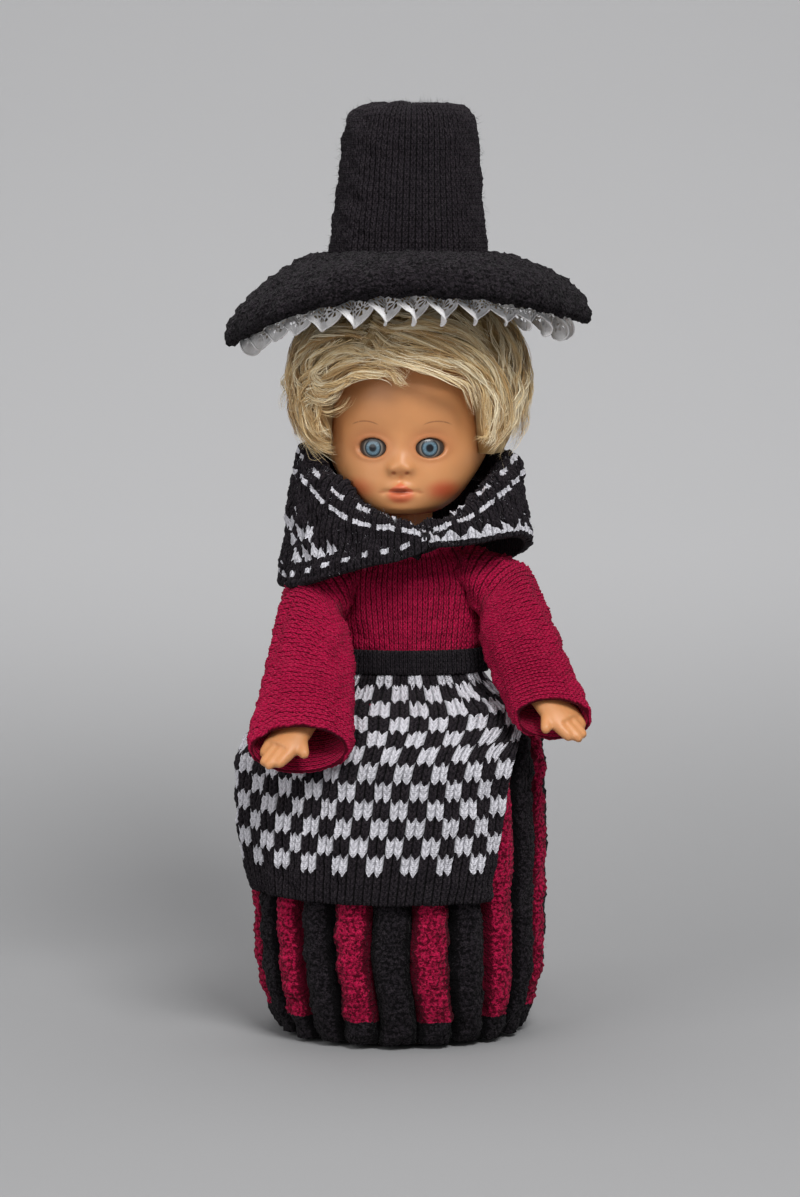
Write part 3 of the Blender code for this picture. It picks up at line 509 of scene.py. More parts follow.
def wool(paint, color, body, ply, bump_depth, hollow_shade=0.0, pale=0.0):
    """Finish a yarn material: painted shade between the stitches and in hollows, less so where it is pale,
    and painted highlights where the fibre noise is high.
    """
    fibre = paint.noise(1500.0, 3.0)
    cloud = paint.noise(160.0, 3.0)
    # Painted shade: a darkened copy of the yarn colour, less dark where the yarn is pale
    painted_shade_color = paint.mix(0.85 - 0.4 * pale, color, (0.0, 0.0, 0.0))
    # Painted highlight: the yarn colour lightened towards a pale grey-pink where the fibre noise is high
    fibre_highlight_color = paint.mix((fibre - 0.42).at_least(0.0) * 3.0, color, paint.mix(0.12, color, (0.62, 0.5, 0.52)))
    # Mix factor: low between the stitches and in the given hollows, where the painted shade goes; the noises
    # add random tone
    shade = (body * 0.9 + 0.3 * (cloud - 0.5) + (fibre - 0.5) * 0.9 - hollow_shade).ramp(0.08, 0.85)
    height = body + ply * 0.08 * body + fibre * 0.6 + cloud * 0.3
    return paint.feed(
        base_color=paint.mix(shade, painted_shade_color, paint.mix(0.35, color, fibre_highlight_color)),
        roughness=0.84 + 0.15 * fibre,
        normal=paint.bump(height, bump_depth, 1.0),
    )


def wool_paint(name):
    return Finish(name, sheen_weight=0.035, sheen_roughness=0.4, specular_ior_level=0.1)


def plain_wool(name, color):
    paint = wool_paint(name)
    _, _, _, _, body, ply = yarn_legs(paint)
    return wool(paint, color, body, ply, 0.8)


def purl_wool(name, color):
    paint = wool_paint(name)
    _, _, body, ply = yarn_bumps(paint)
    return wool(paint, color, body, ply, 0.9)


def rib_wool(name, colors):
    """Black and crimson ribs in turn, with a black band at the hem and painted shade in the valleys between
    the ribs.
    """
    paint = wool_paint(name)
    u, v, body, ply = yarn_bumps(paint)
    crimson_rib = (u / RIB_STITCHES + 0.06 * (paint.noise(300.0) - 0.5)).floor().cycle(2.0).below(0.5)
    above_hem = (v + (paint.noise(400.0) - 0.5)).above(HEM_ROWS)
    color = paint.mix(crimson_rib * above_hem, colors.black[:], colors.crimson[:])
    # Painted shade in the valleys between the ribs
    rib_valley_shade = abs((u / RIB_STITCHES).fract() - 0.5).ramp(0.27, 0.47)
    return wool(paint, color, body, ply, 0.9, rib_valley_shade * 0.8)


def check_wool(name, colors):
    """White checks of two stitches by three rows on black, above a black border."""
    paint = wool_paint(name)
    _, _, column, step, body, ply = yarn_legs(paint)
    stray = (paint.noise(700.0) - 0.5) * 0.9
    patch, band = column / 2.0, (step + stray - APRON_HEM_ROWS) / 3.0
    white = (patch.floor() + band.floor()).cycle(2.0).below(0.5) * band.above(0.0)
    white = white * abs(band.fract() - 0.5).below(0.45)
    color = paint.mix(white, colors.black[:], colors.white[:])
    return wool(paint, color, body, ply, 0.8, pale=white)


def shawl_wool(name, colors):
    """Black with white bars along the fold, white checks and a pointed white edge."""
    paint = wool_paint(name)
    u, v, column, step, body, ply = yarn_legs(paint)
    stray = (paint.noise(620.0) - 0.5) * 0.8
    from_hem = paint.tinted("hem") + stray
    row = v + stray
    line = abs(row - 0.4).below(0.42) * (u + stray).cycle(4.0).below(3.0)
    lip = abs(row + 2.4).below(0.4) * (u + stray + 1.3).cycle(4.6).below(2.4)
    patch = (column / 2.0).floor()
    band = ((step + stray - SHAWL_CHECK_ROW) / 2.0).floor()
    chosen = paint.node("ShaderNodeTexWhiteNoise", {"noise_dimensions": "2D"}, {
        "Vector": paint.node("ShaderNodeCombineXYZ", {}, {0: patch, 1: band}),
    }, "Value")
    right_half = from_hem.above(SHAWL_NO_BAND / 2.0)
    from_edge = from_hem - SHAWL_NO_BAND
    front = column.above(SHAWL_PLAIN_COLUMN) * right_half
    checks = (patch + band).cycle(2.0).below(0.5) * (step + stray).above(SHAWL_CHECK_ROW)
    checks = checks * (from_hem - SHAWL_NO_BAND * right_half).above(4.4)
    checks = checks * chosen.above(0.12 + front * 0.88)
    points_up = 3.4 - abs((u / 3.0).fract() - 0.5) * 3.4
    edge_band = from_hem.above(1.3) * (points_up - from_hem).above(0.0) * (1.0 - right_half)
    specks = abs(from_edge - 2.6).below(0.45) * (u + stray).cycle(3.0).below(1.2)
    white = (line + lip + checks + edge_band + specks).at_most(1.0)
    color = paint.mix(white, colors.black[:], colors.white[:])
    return wool(paint, color, body, ply, 0.8, pale=white)


# How far red, green and blue light spread in the vinyl, in metres
VINYL_DEPTHS = (0.004, 0.0015, 0.001)


def skin_vinyl(name, color):
    """Soft matt vinyl with faint mottling."""
    paint = Finish(name, subsurface_weight=0.12, subsurface_radius=VINYL_DEPTHS)
    cloud = paint.noise(60.0, 3.0)
    grain = paint.noise(2500.0, 2.0)
    return paint.feed(
        base_color=paint.mix(cloud.ramp(0.35, 0.7), color, darker(color, 0.93)),
        roughness=0.4 + 0.12 * cloud,
        normal=paint.bump(grain, 0.05, 0.25),
    )


def blot(x, z, middle_x, middle_z, half_width, half_height, soft):
    """1 inside an ellipse on the face, fading to 0 over its soft edge."""
    reach = (((x - middle_x) / half_width) ** 2.0 + ((z - middle_z) / half_height) ** 2.0) ** 0.5
    return 1.0 - reach.ramp(1.0 - soft, 1.0 + soft)


def face_vinyl(name, color, lip_color, blush_color):
    """Painted vinyl face: blush, lips, brows and the dark rims of the eyes, with painted shade in the eye
    sockets, the mouth corners and the nostrils.
    """
    paint = Finish(name, subsurface_weight=0.12, subsurface_radius=VINYL_DEPTHS)
    x, z = paint.uv()
    cloud = paint.noise(60.0, 3.0)
    grain = paint.noise(2500.0, 2.0)
    away = abs(x)
    skin = paint.mix(cloud.ramp(0.35, 0.7), color, darker(color, 0.94))
    strong = blot(x, z, *BLUSH_LEFT, 0.8)
    faint = blot(x, z, *BLUSH_RIGHT, 0.9)
    blush = (strong * 0.82 + faint * 0.55) * (0.75 + 0.5 * cloud)
    skin = paint.mix(blush.at_most(1.0), skin, blush_color)
    # Painted shade in the eye sockets: a darkened blush tone
    socket = blot(away, z, EYE_OFFSET, EYE_Z + 1.0, 8.4, 6.2, 0.5)
    skin = paint.mix(socket * 0.3, skin, darker(blush_color, 0.55))
    peak = (z - MOUTH_Z) / (3.9 - 0.68 * away).at_least(0.05)
    upper = (1.0 - peak.ramp(0.75, 1.1)) * z.ramp(MOUTH_Z - 0.6, MOUTH_Z) * (1.0 - away.ramp(4.2, 5.2))
    lower = blot(x, z, 0.0, MOUTH_Z - 1.5, 4.9, 2.8, 0.35)
    skin = paint.mix((upper + lower).at_most(1.0) * 0.8, skin, lip_color)
    opening = blot(x, z, 0.0, MOUTH_Z + 0.3, 3.0, 1.3, 0.7)
    skin = paint.mix(opening * 0.8, skin, darker(lip_color, 0.45))
    seam = blot(x, z, 0.0, MOUTH_Z, 5.0, 0.35, 0.6)
    skin = paint.mix(seam * 0.55, skin, darker(lip_color, 0.4))
    # Painted shade in the dimples at the corners of the mouth
    corner_shade = blot(away, z, 7.6, MOUTH_Z - 0.2, 1.3, 0.5, 0.8)
    skin = paint.mix(corner_shade * 0.35, skin, darker(blush_color, 0.5))
    # Painted shade in the dents of the nostrils
    nostril_shade = blot(away, z, 2.5, NOSTRIL_Z, 0.8, 0.6, 0.6)
    skin = paint.mix(nostril_shade * 0.6, skin, darker(blush_color, 0.45))
    arch = z - BROW_Z + ((away - 14.0) / 6.0) ** 2.0 * 1.7
    hairs = paint.noise(900.0, 2.0)
    brow = (1.0 - abs(arch).ramp(0.05, 0.45)) * away.ramp(8.0, 10.5) * (1.0 - away.ramp(17.5, 20.0))
    skin = paint.mix(brow * hairs.ramp(0.2, 0.5) * 0.55, skin, hex_tone("75402a"))
    rim_outer = blot(away, z, EYE_OFFSET, EYE_Z, EYE_HALF_WIDTH + 0.3, EYE_HALF_HEIGHT + 0.35, 0.08)
    skin = paint.mix(rim_outer * 0.92, skin, hex_tone("3a2618"))
    return paint.feed(base_color=skin, roughness=0.38 + 0.14 * cloud, normal=paint.bump(grain, 0.05, 0.25))


def eye_glass(name):
    """Grey-blue iris with fine rays, a dark ring and a small pupil, under a thin clear coat, with painted
    shade across the top of the ball.
    """
    paint = Finish(name, roughness=0.3, coat_weight=0.22, coat_roughness=0.08)
    x, z = paint.uv()
    reach = (x ** 2.0 + z ** 2.0) ** 0.5
    turn = paint.node("ShaderNodeMath", {"operation": "ARCTAN2"}, {0: z, 1: x})
    spokes = paint.node("ShaderNodeCombineXYZ", {}, {0: turn * 5.0, 1: reach * 0.35})
    rays = paint.noise(3.0, 3.0, spokes)
    iris = paint.mix(rays.ramp(0.3, 0.7), hex_tone("4a6170"), hex_tone("7594a4"))
    iris = paint.mix(1.0 - reach.ramp(1.2, 2.0), iris, hex_tone("1b2a32"))
    iris = paint.mix(reach.ramp(2.4, 3.2), iris, hex_tone("182329"))
    ball = paint.mix(reach.ramp(3.3, 3.55), iris, hex_tone("7d746b"))
    ball = paint.mix(reach.ramp(3.6, 4.5), ball, hex_tone("3e332c"))
    # Painted shade across the top of the ball, under the upper lid
    ball = paint.mix(z.ramp(1.4, 3.4), ball, hex_tone("2a2220"))
    pupil = 1.0 - reach.ramp(1.15, 1.45)
    return paint.feed(base_color=paint.mix(pupil, ball, (0.004, 0.006, 0.01)))


def hair_fibre(name, colors):
    """Blonde fibre: each strand has its own tint."""
    paint = Finish(name, specular_ior_level=0.45)
    tint = paint.tinted("tint")
    cloud = paint.noise(180.0, 2.0)
    warm = paint.mix((tint * 0.8 + cloud * 0.4).ramp(0.05, 0.8), hex_tone("b98d55"), colors.hair[:])
    pale = paint.mix(tint.ramp(0.5, 0.9), warm, hex_tone("fff1cf"))
    return paint.feed(base_color=pale, roughness=0.34 + 0.12 * cloud)


def hair_base(name, colors):
    """Blonde mass under the loose strands, darker than them as painted shade deep in the hair, with streaks
    along the locks.
    """
    paint = Finish(name, specular_ior_level=0.35)
    u, v = paint.uv()
    streaks = paint.noise(1.0, 4.0, paint.node("ShaderNodeCombineXYZ", {}, {0: u * 60.0, 1: v * 6.0}))
    # Painted shade: both tones are darker than the strands' hair colour; the streaks that mix them are random
    # tone
    color = paint.mix(streaks.ramp(0.3, 0.7), hex_tone("94703f"), darker(colors.hair[:], 0.85))
    return paint.feed(base_color=color, roughness=0.5 + 0.1 * streaks, normal=paint.bump(streaks, 0.6, 0.8))


def lace_cotton(name):
    """White gathered lace: a net of round flowers with small holes."""
    paint = Finish(name, sheen_weight=0.2)
    u, v = paint.uv()
    x = (u.fract() - 0.5) * LACE_MOTIF
    y = (v - 0.5) * LACE_WIDTH
    reach = (x ** 2.0 + y ** 2.0) ** 0.5
    turn = paint.node("ShaderNodeMath", {"operation": "ARCTAN2"}, {0: y, 1: x})
    petals = (turn * 8.0).sine()
    holes = reach.above(1.0) * reach.below(FLOWER_RADIUS) * petals.above(0.0)
    holes = holes + reach.below(0.5)
    side_x = ((u + 0.5).fract() - 0.5) * LACE_MOTIF
    side_reach = (side_x ** 2.0 + (abs(y) - 2.3) ** 2.0) ** 0.5
    holes = holes + side_reach.below(0.62)
    threads = paint.noise(2200.0, 2.0)
    height = threads * 0.5 + (petals * 0.5 + 0.5) * reach.below(FLOWER_RADIUS)
    return paint.feed(
        base_color=paint.mix(threads, hex_tone("dedcdc"), hex_tone("fbfafa")),
        roughness=0.75 + 0.15 * threads,
        alpha=1.0 - holes.at_most(1.0),
        normal=paint.bump(height, 0.25, 0.8),
    )


def wadding_finish(name):
    paint = Finish(name, roughness=0.95, sheen_weight=0.3)
    tufts = paint.noise(300.0, 4.0)
    return paint.feed(
        base_color=paint.mix(tufts, hex_tone("b5ada0"), hex_tone("e4ded2")),
        normal=paint.bump(tufts, 1.0, 0.8),
    )


def dark_metal(name):
    paint = Finish(name, metallic=1.0)
    wear = paint.noise(900.0, 3.0)
    tone = paint.mix(wear, (0.02, 0.02, 0.022), (0.06, 0.058, 0.06))
    return paint.feed(base_color=tone, roughness=0.3 + 0.25 * wear)


# Head

HEAD_YAW = math.radians(-4.9)
EYE_OFFSET = 11.8
EYE_HALF_WIDTH = 5.4
EYE_HALF_HEIGHT = 3.6
MOUTH_Z = 219.0
BROW_Z = 246.5
NOSE_Z = 229.0
NOSTRIL_Z = 226.4
CHIN_Z = 211.5
CHEEK_Z = 222.0
EAR_Z = 238.5
# Columns of points round the head, closer together at the face
HEAD_COLUMNS = 200
# Radius of the round that the face's places are measured on
FACE_RADIUS = 32.5
# Half sizes of the whole glass eye, and how far it domes
BALL_HALF_WIDTH = 6.3
BALL_HALF_HEIGHT = 5.0
BALL_DOME = 2.3
BALL_INSET = 3.2
# Middles of the painted blush on the doll's left and right cheek: x, z, half width, half height
BLUSH_LEFT = (16.6, 219.2, 4.9, 3.3)
BLUSH_RIGHT = (-17.0, 219.8, 4.8, 3.3)

# Rows of step, front height, back height, half width, front depth and back depth
HEAD_ROWS = [
    (0, 213.0, 216.0, 11.0, 11.0, 11.0),
    (1, 209.5, 219.0, 15.5, 24.5, 19.0),
    (2, 211.5, 223.0, 20.5, 29.5, 26.0),
    (3, 215.0, 227.5, 24.0, 31.5, 30.0),
    (4, 220.0, 231.0, 27.5, 32.0, 32.5),
    (5, 225.0, 234.0, 30.0, 32.0, 34.0),
    (6, 230.0, 237.0, 31.3, 32.3, 35.0),
    (7, 236.0, 241.0, 31.7, 32.3, 35.6),
    (8, 242.0, 246.0, 32.0, 32.6, 35.9),
    (9, 249.0, 252.0, 32.0, 33.5, 36.0),
    (10, 257.0, 259.0, 31.8, 33.5, 36.0),
    (11, 266.0, 267.0, 30.6, 31.9, 34.0),
    (12, 275.0, 275.0, 27.6, 28.3, 30.0),
    (13, 282.0, 282.0, 23.0, 23.0, 24.5),
    (14, 287.5, 287.5, 16.0, 16.5, 17.5),
    (15, 290.8, 290.8, 7.0, 7.0, 7.5),
]


def face_relief(x, z, front):
    """How far the features of the face stand out, in millimetres."""
    away = np.abs(x)
    nose = 2.6 * np.where(z < NOSE_Z, hill(z, NOSE_Z, 3.6), hill(z, NOSE_Z, 4.2)) * hill(x, 0.0, 3.9)
    nose += 0.35 * hill(x, 0.0, 3.0) * hill(z, NOSE_Z + 6.0, 6.0)
    nose += 1.3 * hill(away, 3.4, 1.9) * hill(z, NOSE_Z - 1.2, 2.1)
    nose -= 0.5 * hill(away, 2.6, 0.8) * hill(z, NOSE_Z - 3.0, 0.8)
    lips = 1.8 * hill(x, 0.0, 4.2) * hill(z, MOUTH_Z - 2.0, 2.0)
    lips += 2.1 * hill(x, 0.0, 3.8) * hill(z, MOUTH_Z + 1.6, 1.9)
    lips -= 1.4 * hill(x, 0.0, 4.6) * hill(z, MOUTH_Z, 0.7)
    lips -= 0.5 * hill(x, 0.0, 0.9) * hill(z, MOUTH_Z + 4.6, 1.6)
    lips -= 0.35 * hill(away, 6.8, 1.4) * hill(z, MOUTH_Z - 0.3, 1.3)
    chin = 1.3 * hill(x, 0.0, 6.5) * hill(z, CHIN_Z, 3.6)
    cheeks = 1.4 * hill(away, 15.5, 8.0) * hill(z, CHEEK_Z, 7.0)
    sockets = -1.6 * hill(away, EYE_OFFSET, 7.0) * hill(z, EYE_Z + 0.5, 6.0)
    reach = np.hypot((away - EYE_OFFSET) / EYE_HALF_WIDTH, (z - EYE_Z) / EYE_HALF_HEIGHT)
    lids = 0.4 * hill(reach, 1.25, 0.25)
    hole = -3.4 * (1.0 - eased(reach, 0.96, 1.1))
    return (nose + lips + chin + cheeks + sockets + lids + hole) * front


def store_places(mesh, faces, x, z):
    """Use x and z in millimetres as the UV map; a closing cap, if there is one, stays at 0, 0."""
    flat = np.zeros((len(mesh.loops), 2), np.float32)
    flat[:faces.size, 0] = x.ravel()[faces.ravel()]
    flat[:faces.size, 1] = z.ravel()[faces.ravel()]
    mesh.uv_layers.new(name="cloth").data.foreach_set("uv", flat.ravel())


def head_grid(turns, steps):
    """Points of the head and their places on the face for azimuths and row steps."""
    a, k = np.meshgrid(turns, steps)
    front_z, back_z, width, front_depth, back_depth = [curve(HEAD_ROWS, c, k) for c in range(1, 6)]
    radius = oval(a, width, front_depth, back_depth)
    z = front_z + (back_z - front_z) * (0.5 - 0.5 * np.cos(a))
    x = FACE_RADIUS * np.sin(a) * radius / np.maximum(front_depth, 20.0)
    facing = np.clip(np.cos(a) * 4.0, 0.0, 1.0)
    radius = radius + face_relief(x, z, facing)
    ear = hill(np.abs(np.sin(a)) * np.sign(np.cos(a) + 0.35), 1.0, 0.03) * hill(z, EAR_Z, 5.0)
    radius = radius + 2.2 * ear
    return polar(a + HEAD_YAW, radius, z), x, z


def make_head(colors):
    share = np.arange(HEAD_COLUMNS) / HEAD_COLUMNS
    turns = math.pi + TAU * share + 0.6 * np.sin(TAU * share)
    fine, plain = np.linspace(3.0, 10.0, 92)[1:], np.linspace(10.0, 15.0, 14)[1:]
    steps = np.concatenate([np.linspace(0.0, 3.0, 28), fine, plain])
    points, x, z = head_grid(turns, steps)
    rows, cols = points.shape[:2]
    faces, _, _ = grid_faces(rows, cols, True, False, False)
    mesh = bpy.data.meshes.new("head_vinyl")
    crown = list(range((rows - 1) * cols, rows * cols))
    mesh.from_pydata((points.reshape(-1, 3) * MM).tolist(), [], faces.tolist() + [crown])
    store_places(mesh, faces, x, z)
    material = face_vinyl("face_vinyl", colors.skin[:], colors.lips[:], colors.blush[:])
    head = add_object("head_vinyl", mesh, material, "head")
    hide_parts("head")
    return head


def make_eye(side, label, material):
    """A domed glass eye set in its socket."""
    radius = curve(HEAD_ROWS, 4, 7.0) - BALL_INSET
    azimuth = side * math.asin(EYE_OFFSET / FACE_RADIUS)
    center = Vector((math.sin(azimuth + HEAD_YAW), -math.cos(azimuth + HEAD_YAW), 0.0)) * float(radius)
    center.z = EYE_Z
    rings, sides = 15, 40
    tilt = np.linspace(0.0, math.pi, rings)[:, None]
    turn = np.linspace(0.0, TAU, sides, endpoint=False)[None, :]
    x = BALL_HALF_WIDTH * np.sin(tilt) * np.cos(turn)
    z = BALL_HALF_HEIGHT * np.sin(tilt) * np.sin(turn)
    y = -BALL_DOME * np.cos(tilt) + 0.0 * turn
    spin = azimuth * 0.8 + HEAD_YAW
    points = np.stack([
        center.x + x * math.cos(spin) - y * math.sin(spin),
        center.y + x * math.sin(spin) + y * math.cos(spin),
        center.z + z,
    ], -1)
    faces, _, _ = grid_faces(rings, sides, True, False, True)
    mesh = bpy.data.meshes.new(f"glass_eye_{label}")
    mesh.from_pydata((points.reshape(-1, 3) * MM).tolist(), [], faces.tolist())
    store_places(mesh, faces, x, z)
    eye = add_object(f"glass_eye_{label}", mesh, material, "head")
    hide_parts(f"eye_{label}")
    return eye


# Hair

# Rows of height, half width, front depth and back depth
HAIR_ROWS = [
    (232.5, 40.5, 37.5, 39.0),
    (240.0, 44.0, 39.5, 43.0),
    (250.0, 45.8, 40.5, 46.0),
    (262.0, 46.0, 41.5, 46.0),
    (272.0, 45.0, 41.5, 45.0),
    (280.0, 42.5, 39.5, 42.0),
    (287.0, 38.0, 35.5, 37.5),
    (293.5, 30.0, 28.5, 30.0),
    (298.0, 19.0, 19.0, 19.0),
]

# Locks that show at the front: azimuths in degrees and heights along each one
FRONT_LOCKS = [
    (
        (-16.0, 279.5), (-36.0, 281.0), (-55.0, 276.0), (-65.0, 267.0),
        (-56.0, 259.0), (-42.0, 257.0), (-36.0, 263.0),
    ),
    (
        (-64.0, 268.0), (-52.0, 260.0), (-38.0, 261.0), (-27.0, 266.0),
        (-13.0, 268.5), (-1.0, 268.5), (9.0, 264.0),
    ),
    ((-60.0, 277.0), (-73.0, 268.0), (-71.0, 256.0), (-66.0, 245.0), (-54.0, 237.5), (-42.0, 236.5)),
    ((-17.0, 279.0), (-5.0, 274.0), (10.0, 272.0), (27.0, 269.5), (42.0, 265.0), (53.0, 254.0)),
    ((-5.0, 282.0), (14.0, 280.0), (36.0, 274.0), (50.0, 266.0), (59.0, 254.0), (62.0, 243.0), (54.0, 235.5)),
    ((-20.0, 286.0), (-2.0, 283.0), (16.0, 285.0), (34.0, 283.0), (48.0, 276.0), (58.0, 268.0)),
    ((-14.0, 273.0), (-28.0, 275.0), (-44.0, 271.0), (-50.0, 264.5), (-42.0, 260.5), (-33.0, 266.0)),
    ((4.0, 270.0), (18.0, 271.0), (34.0, 268.0), (48.0, 261.0), (55.0, 251.0), (58.0, 241.0), (56.0, 235.5)),
    ((-50.0, 284.0), (-66.0, 278.0), (-80.0, 268.0), (-82.0, 256.0), (-74.0, 246.0), (-62.0, 238.5)),
    ((-42.0, 268.5), (-54.0, 260.5), (-58.0, 252.0), (-52.0, 243.0), (-46.0, 237.5)),
]


# Radius that turns an azimuth into a length along the hair
HAIR_GIRTH = 42.0
FRINGE_Z = 268.5
HAIR_LOW_Z = 233.0
HAIR_SHELL_TOP_Z = 297.5
HAIR_LINING_TOP_Z = 292.5
SCALP_GAP = 0.7


def hair_surface_point(azimuth, z, lift):
    sizes = [curve(HAIR_ROWS, c, z) for c in (1, 2, 3)]
    return polar(azimuth + HEAD_YAW, oval(azimuth, *sizes) + lift, z)


def hair_edge(azimuth):
    """Lower edge of the hair, high over the forehead."""
    away = np.abs(np.arctan2(np.sin(azimuth), np.cos(azimuth)))
    return FRINGE_Z + (HAIR_LOW_Z - FRINGE_Z) * eased(away, math.radians(50.0), math.radians(66.0))


def make_hair_mass(material):
    """The body of the hair, as a shell with soft locks pressed into it."""
    cols, rows = 150, 34
    turns = TAU * np.arange(cols) / cols
    share = np.linspace(0.0, 1.0, rows)
    a, t = np.meshgrid(turns, share)
    low = hair_edge(a)
    z = low + (HAIR_SHELL_TOP_Z - low) * t
    locks = 0.9 * np.sin(16.0 * a + 2.2 * np.sin(z / 6.0)) + 0.6 * np.sin(29.0 * a - z / 4.0)
    outer = hair_surface_point(a, z, locks - 3.4)
    back = np.linspace(1.0, 0.0, 8)
    a_in, t_in = np.meshgrid(turns, back)
    low_in = hair_edge(a_in)
    z_in = low_in + (HAIR_LINING_TOP_Z - low_in) * t_in
    steps = np.interp(z_in, [row[1] for row in HEAD_ROWS[3:]], [row[0] for row in HEAD_ROWS[3:]])
    scalp = oval(a_in, *[curve(HEAD_ROWS, c, steps) for c in (3, 4, 5)]) + SCALP_GAP
    inner = polar(a_in + HEAD_YAW, scalp, z_in)
    points = np.concatenate([outer, inner])
    places = even_grid(turns / TAU, np.concatenate([share, back]))
    mesh = grid_mesh("hair_mass", points, *places, True, True)
    mass = add_object("hair_mass", mesh, material, "head")
    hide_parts("hair")
    return mass


def lock_guides():
    """All locks: the ones drawn for the front, and wavy ones round the sides and back."""
    guides = []
    for lock in FRONT_LOCKS:
        spots = np.array(lock)
        share = np.linspace(0.0, 1.0, len(spots))
        table = np.column_stack([share, spots])
        t = np.linspace(0.0, 1.0, GUIDE_POINTS)
        guides.append((np.radians(curve(table, 1, t)), curve(table, 2, t), FRONT_STRANDS))
    rng = np.random.default_rng(41)
    for layer, top in enumerate(BACK_LOCK_TOPS):
        for k in range(BACK_LOCKS):
            turn = math.radians(64.0 + 9.3 * k + 4.0 * layer)
            t = np.linspace(0.0, 1.0, GUIDE_POINTS)
            end = rng.uniform(234.0, 240.0) + (6.0 if layer == 0 else 0.0)
            sway = math.radians(3.8) * np.sin(t * rng.uniform(6.5, 9.5) + rng.uniform(0.0, TAU))
            curl = math.radians(9.0) * rng.choice((-1.0, 1.0)) * eased(t, 0.65, 1.0)
            guides.append((turn + sway + curl, top + (end - top) * t, BACK_STRANDS))
    return guides


STRAND_POINTS = 14
GUIDE_POINTS = 24
# Strands in a lock that was drawn for the front, and in one of the sides and back
FRONT_STRANDS = 175
BACK_STRANDS = 42
BACK_LOCKS = 26
BACK_LOCK_TOPS = (297.0, 286.0, 272.0)
FLYAWAY_COUNT = 900


def strand_along(turns, heights, count, rng):
    """Strands of one lock, in small tufts that share their part of it, their wave and their lift."""
    tufts = max(count // 12, 1)
    tuft = rng.integers(0, tufts, count)
    t = np.linspace(0.0, 1.0, STRAND_POINTS)[None, :]

    def shared(values, spread):
        return values[tuft][:, None] + rng.normal(0.0, spread, (count, 1))

    reach = np.clip(shared(rng.uniform(0.5, 0.95, tufts), 0.06), 0.3, 1.0)
    place = (1.0 - reach) * np.clip(shared(rng.uniform(0.0, 1.0, tufts), 0.05), 0.0, 1.0) + t * reach
    guide = np.linspace(0.0, 1.0, len(turns))
    slope_a, slope_z = np.gradient(turns) * HAIR_GIRTH, np.gradient(heights)
    turn, height = np.interp(place, guide, turns), np.interp(place, guide, heights)
    da, dz = np.interp(place, guide, slope_a), np.interp(place, guide, slope_z)
    length = np.hypot(da, dz)
    pace, phase = shared(rng.uniform(7.0, 16.0, tufts), 0.5), shared(rng.uniform(0.0, TAU, tufts), 0.35)
    curl = shared(rng.uniform(0.5, 1.5, tufts), 0.15)
    shift = shared(rng.normal(0.0, 2.7, tufts), 0.5) * (0.7 + 0.5 * place) + curl * np.sin(t * pace + phase)
    shift = shift + shared(rng.normal(0.0, 2.0, tufts), 0.9) * t ** 2
    lift = shared(rng.normal(-0.6, 1.0, tufts), 0.35) + 0.9 * curl * np.cos(t * pace + phase)
    lift = lift + np.sin(math.pi * place) * shared(rng.uniform(0.5, 2.4, tufts), 0.2)
    a = turn + shift * dz / length / HAIR_GIRTH
    z = height - shift * da / length
    tint = np.clip(shared(rng.uniform(0.1, 1.0, tufts), 0.16)[:, 0], 0.0, 1.0)
    return a, z, lift, tint


def make_hair_strands(material, knit):
    """Wavy strands that follow the locks."""
    rng = np.random.default_rng(7)
    paths, tints, faces = [], [], []
    for turns, heights, count in lock_guides():
        count = int(count * knit.hair_density)
        a, z, lift, tint = strand_along(turns, heights, count, rng)
        paths.append(hair_surface_point(a, z, lift - 0.4))
        outward = polar(a + HEAD_YAW, np.ones_like(a), 0.0 * z)
        faces.append(outward + rng.normal(0.0, 0.45, (count, 1, 3)))
        tints.append(tint)
    paths, faces, tints = np.concatenate(paths), np.concatenate(faces), np.concatenate(tints)
    widths = rng.uniform(0.16, 0.36, len(paths))
    mesh = ribbon_mesh("hair_strands", paths, widths, faces, tints, 1.5)
    return add_object("hair_strands", mesh, material, "head")


def make_flyaways(material, knit):
    """Fine loose hairs that stand off the hairstyle."""
    rng = np.random.default_rng(9)
    count = int(FLYAWAY_COUNT * knit.hair_density)
    t = np.linspace(0.0, 1.0, 8)[None, :]
    turn = rng.uniform(-math.pi, math.pi, (count, 1))
    low = hair_edge(turn) + 2.0
    height = low + (292.0 - low) * rng.uniform(0.0, 1.0, (count, 1))
    reach = rng.uniform(5.0, 13.0, (count, 1))
    heading = rng.uniform(-1.0, 1.0, (count, 1)) * math.pi
    bend = rng.normal(0.0, 1.2, (count, 1)) * t
    a = turn + np.sin(heading + bend) * reach * t / HAIR_GIRTH
    z = height - np.abs(np.cos(heading + bend)) * reach * t
    lift = rng.uniform(0.2, 0.9, (count, 1)) * 3.6 * np.sin(math.pi * (0.15 + 0.7 * t)) - 0.5
    paths = hair_surface_point(a, z, lift)
    faces = np.broadcast_to(rng.normal(size=(count, 1, 3)), paths.shape)
    tints = rng.uniform(0.5, 1.0, count)
    mesh = ribbon_mesh("hair_flyaways", paths, np.full(count, 0.1), faces, tints, 1.5)
    return add_object("hair_flyaways", mesh, material, "head")


# Dress

# Rows of height, half width and half depth
TORSO_ROWS = [
    (147.5, 26.0, 16.0),
    (159.0, 25.0, 16.4),
    (170.0, 25.8, 17.9),
    (184.0, 27.0, 18.5),
    (191.0, 24.5, 16.5),
    (196.0, 18.0, 13.5),
    (199.0, 12.0, 11.0),
]


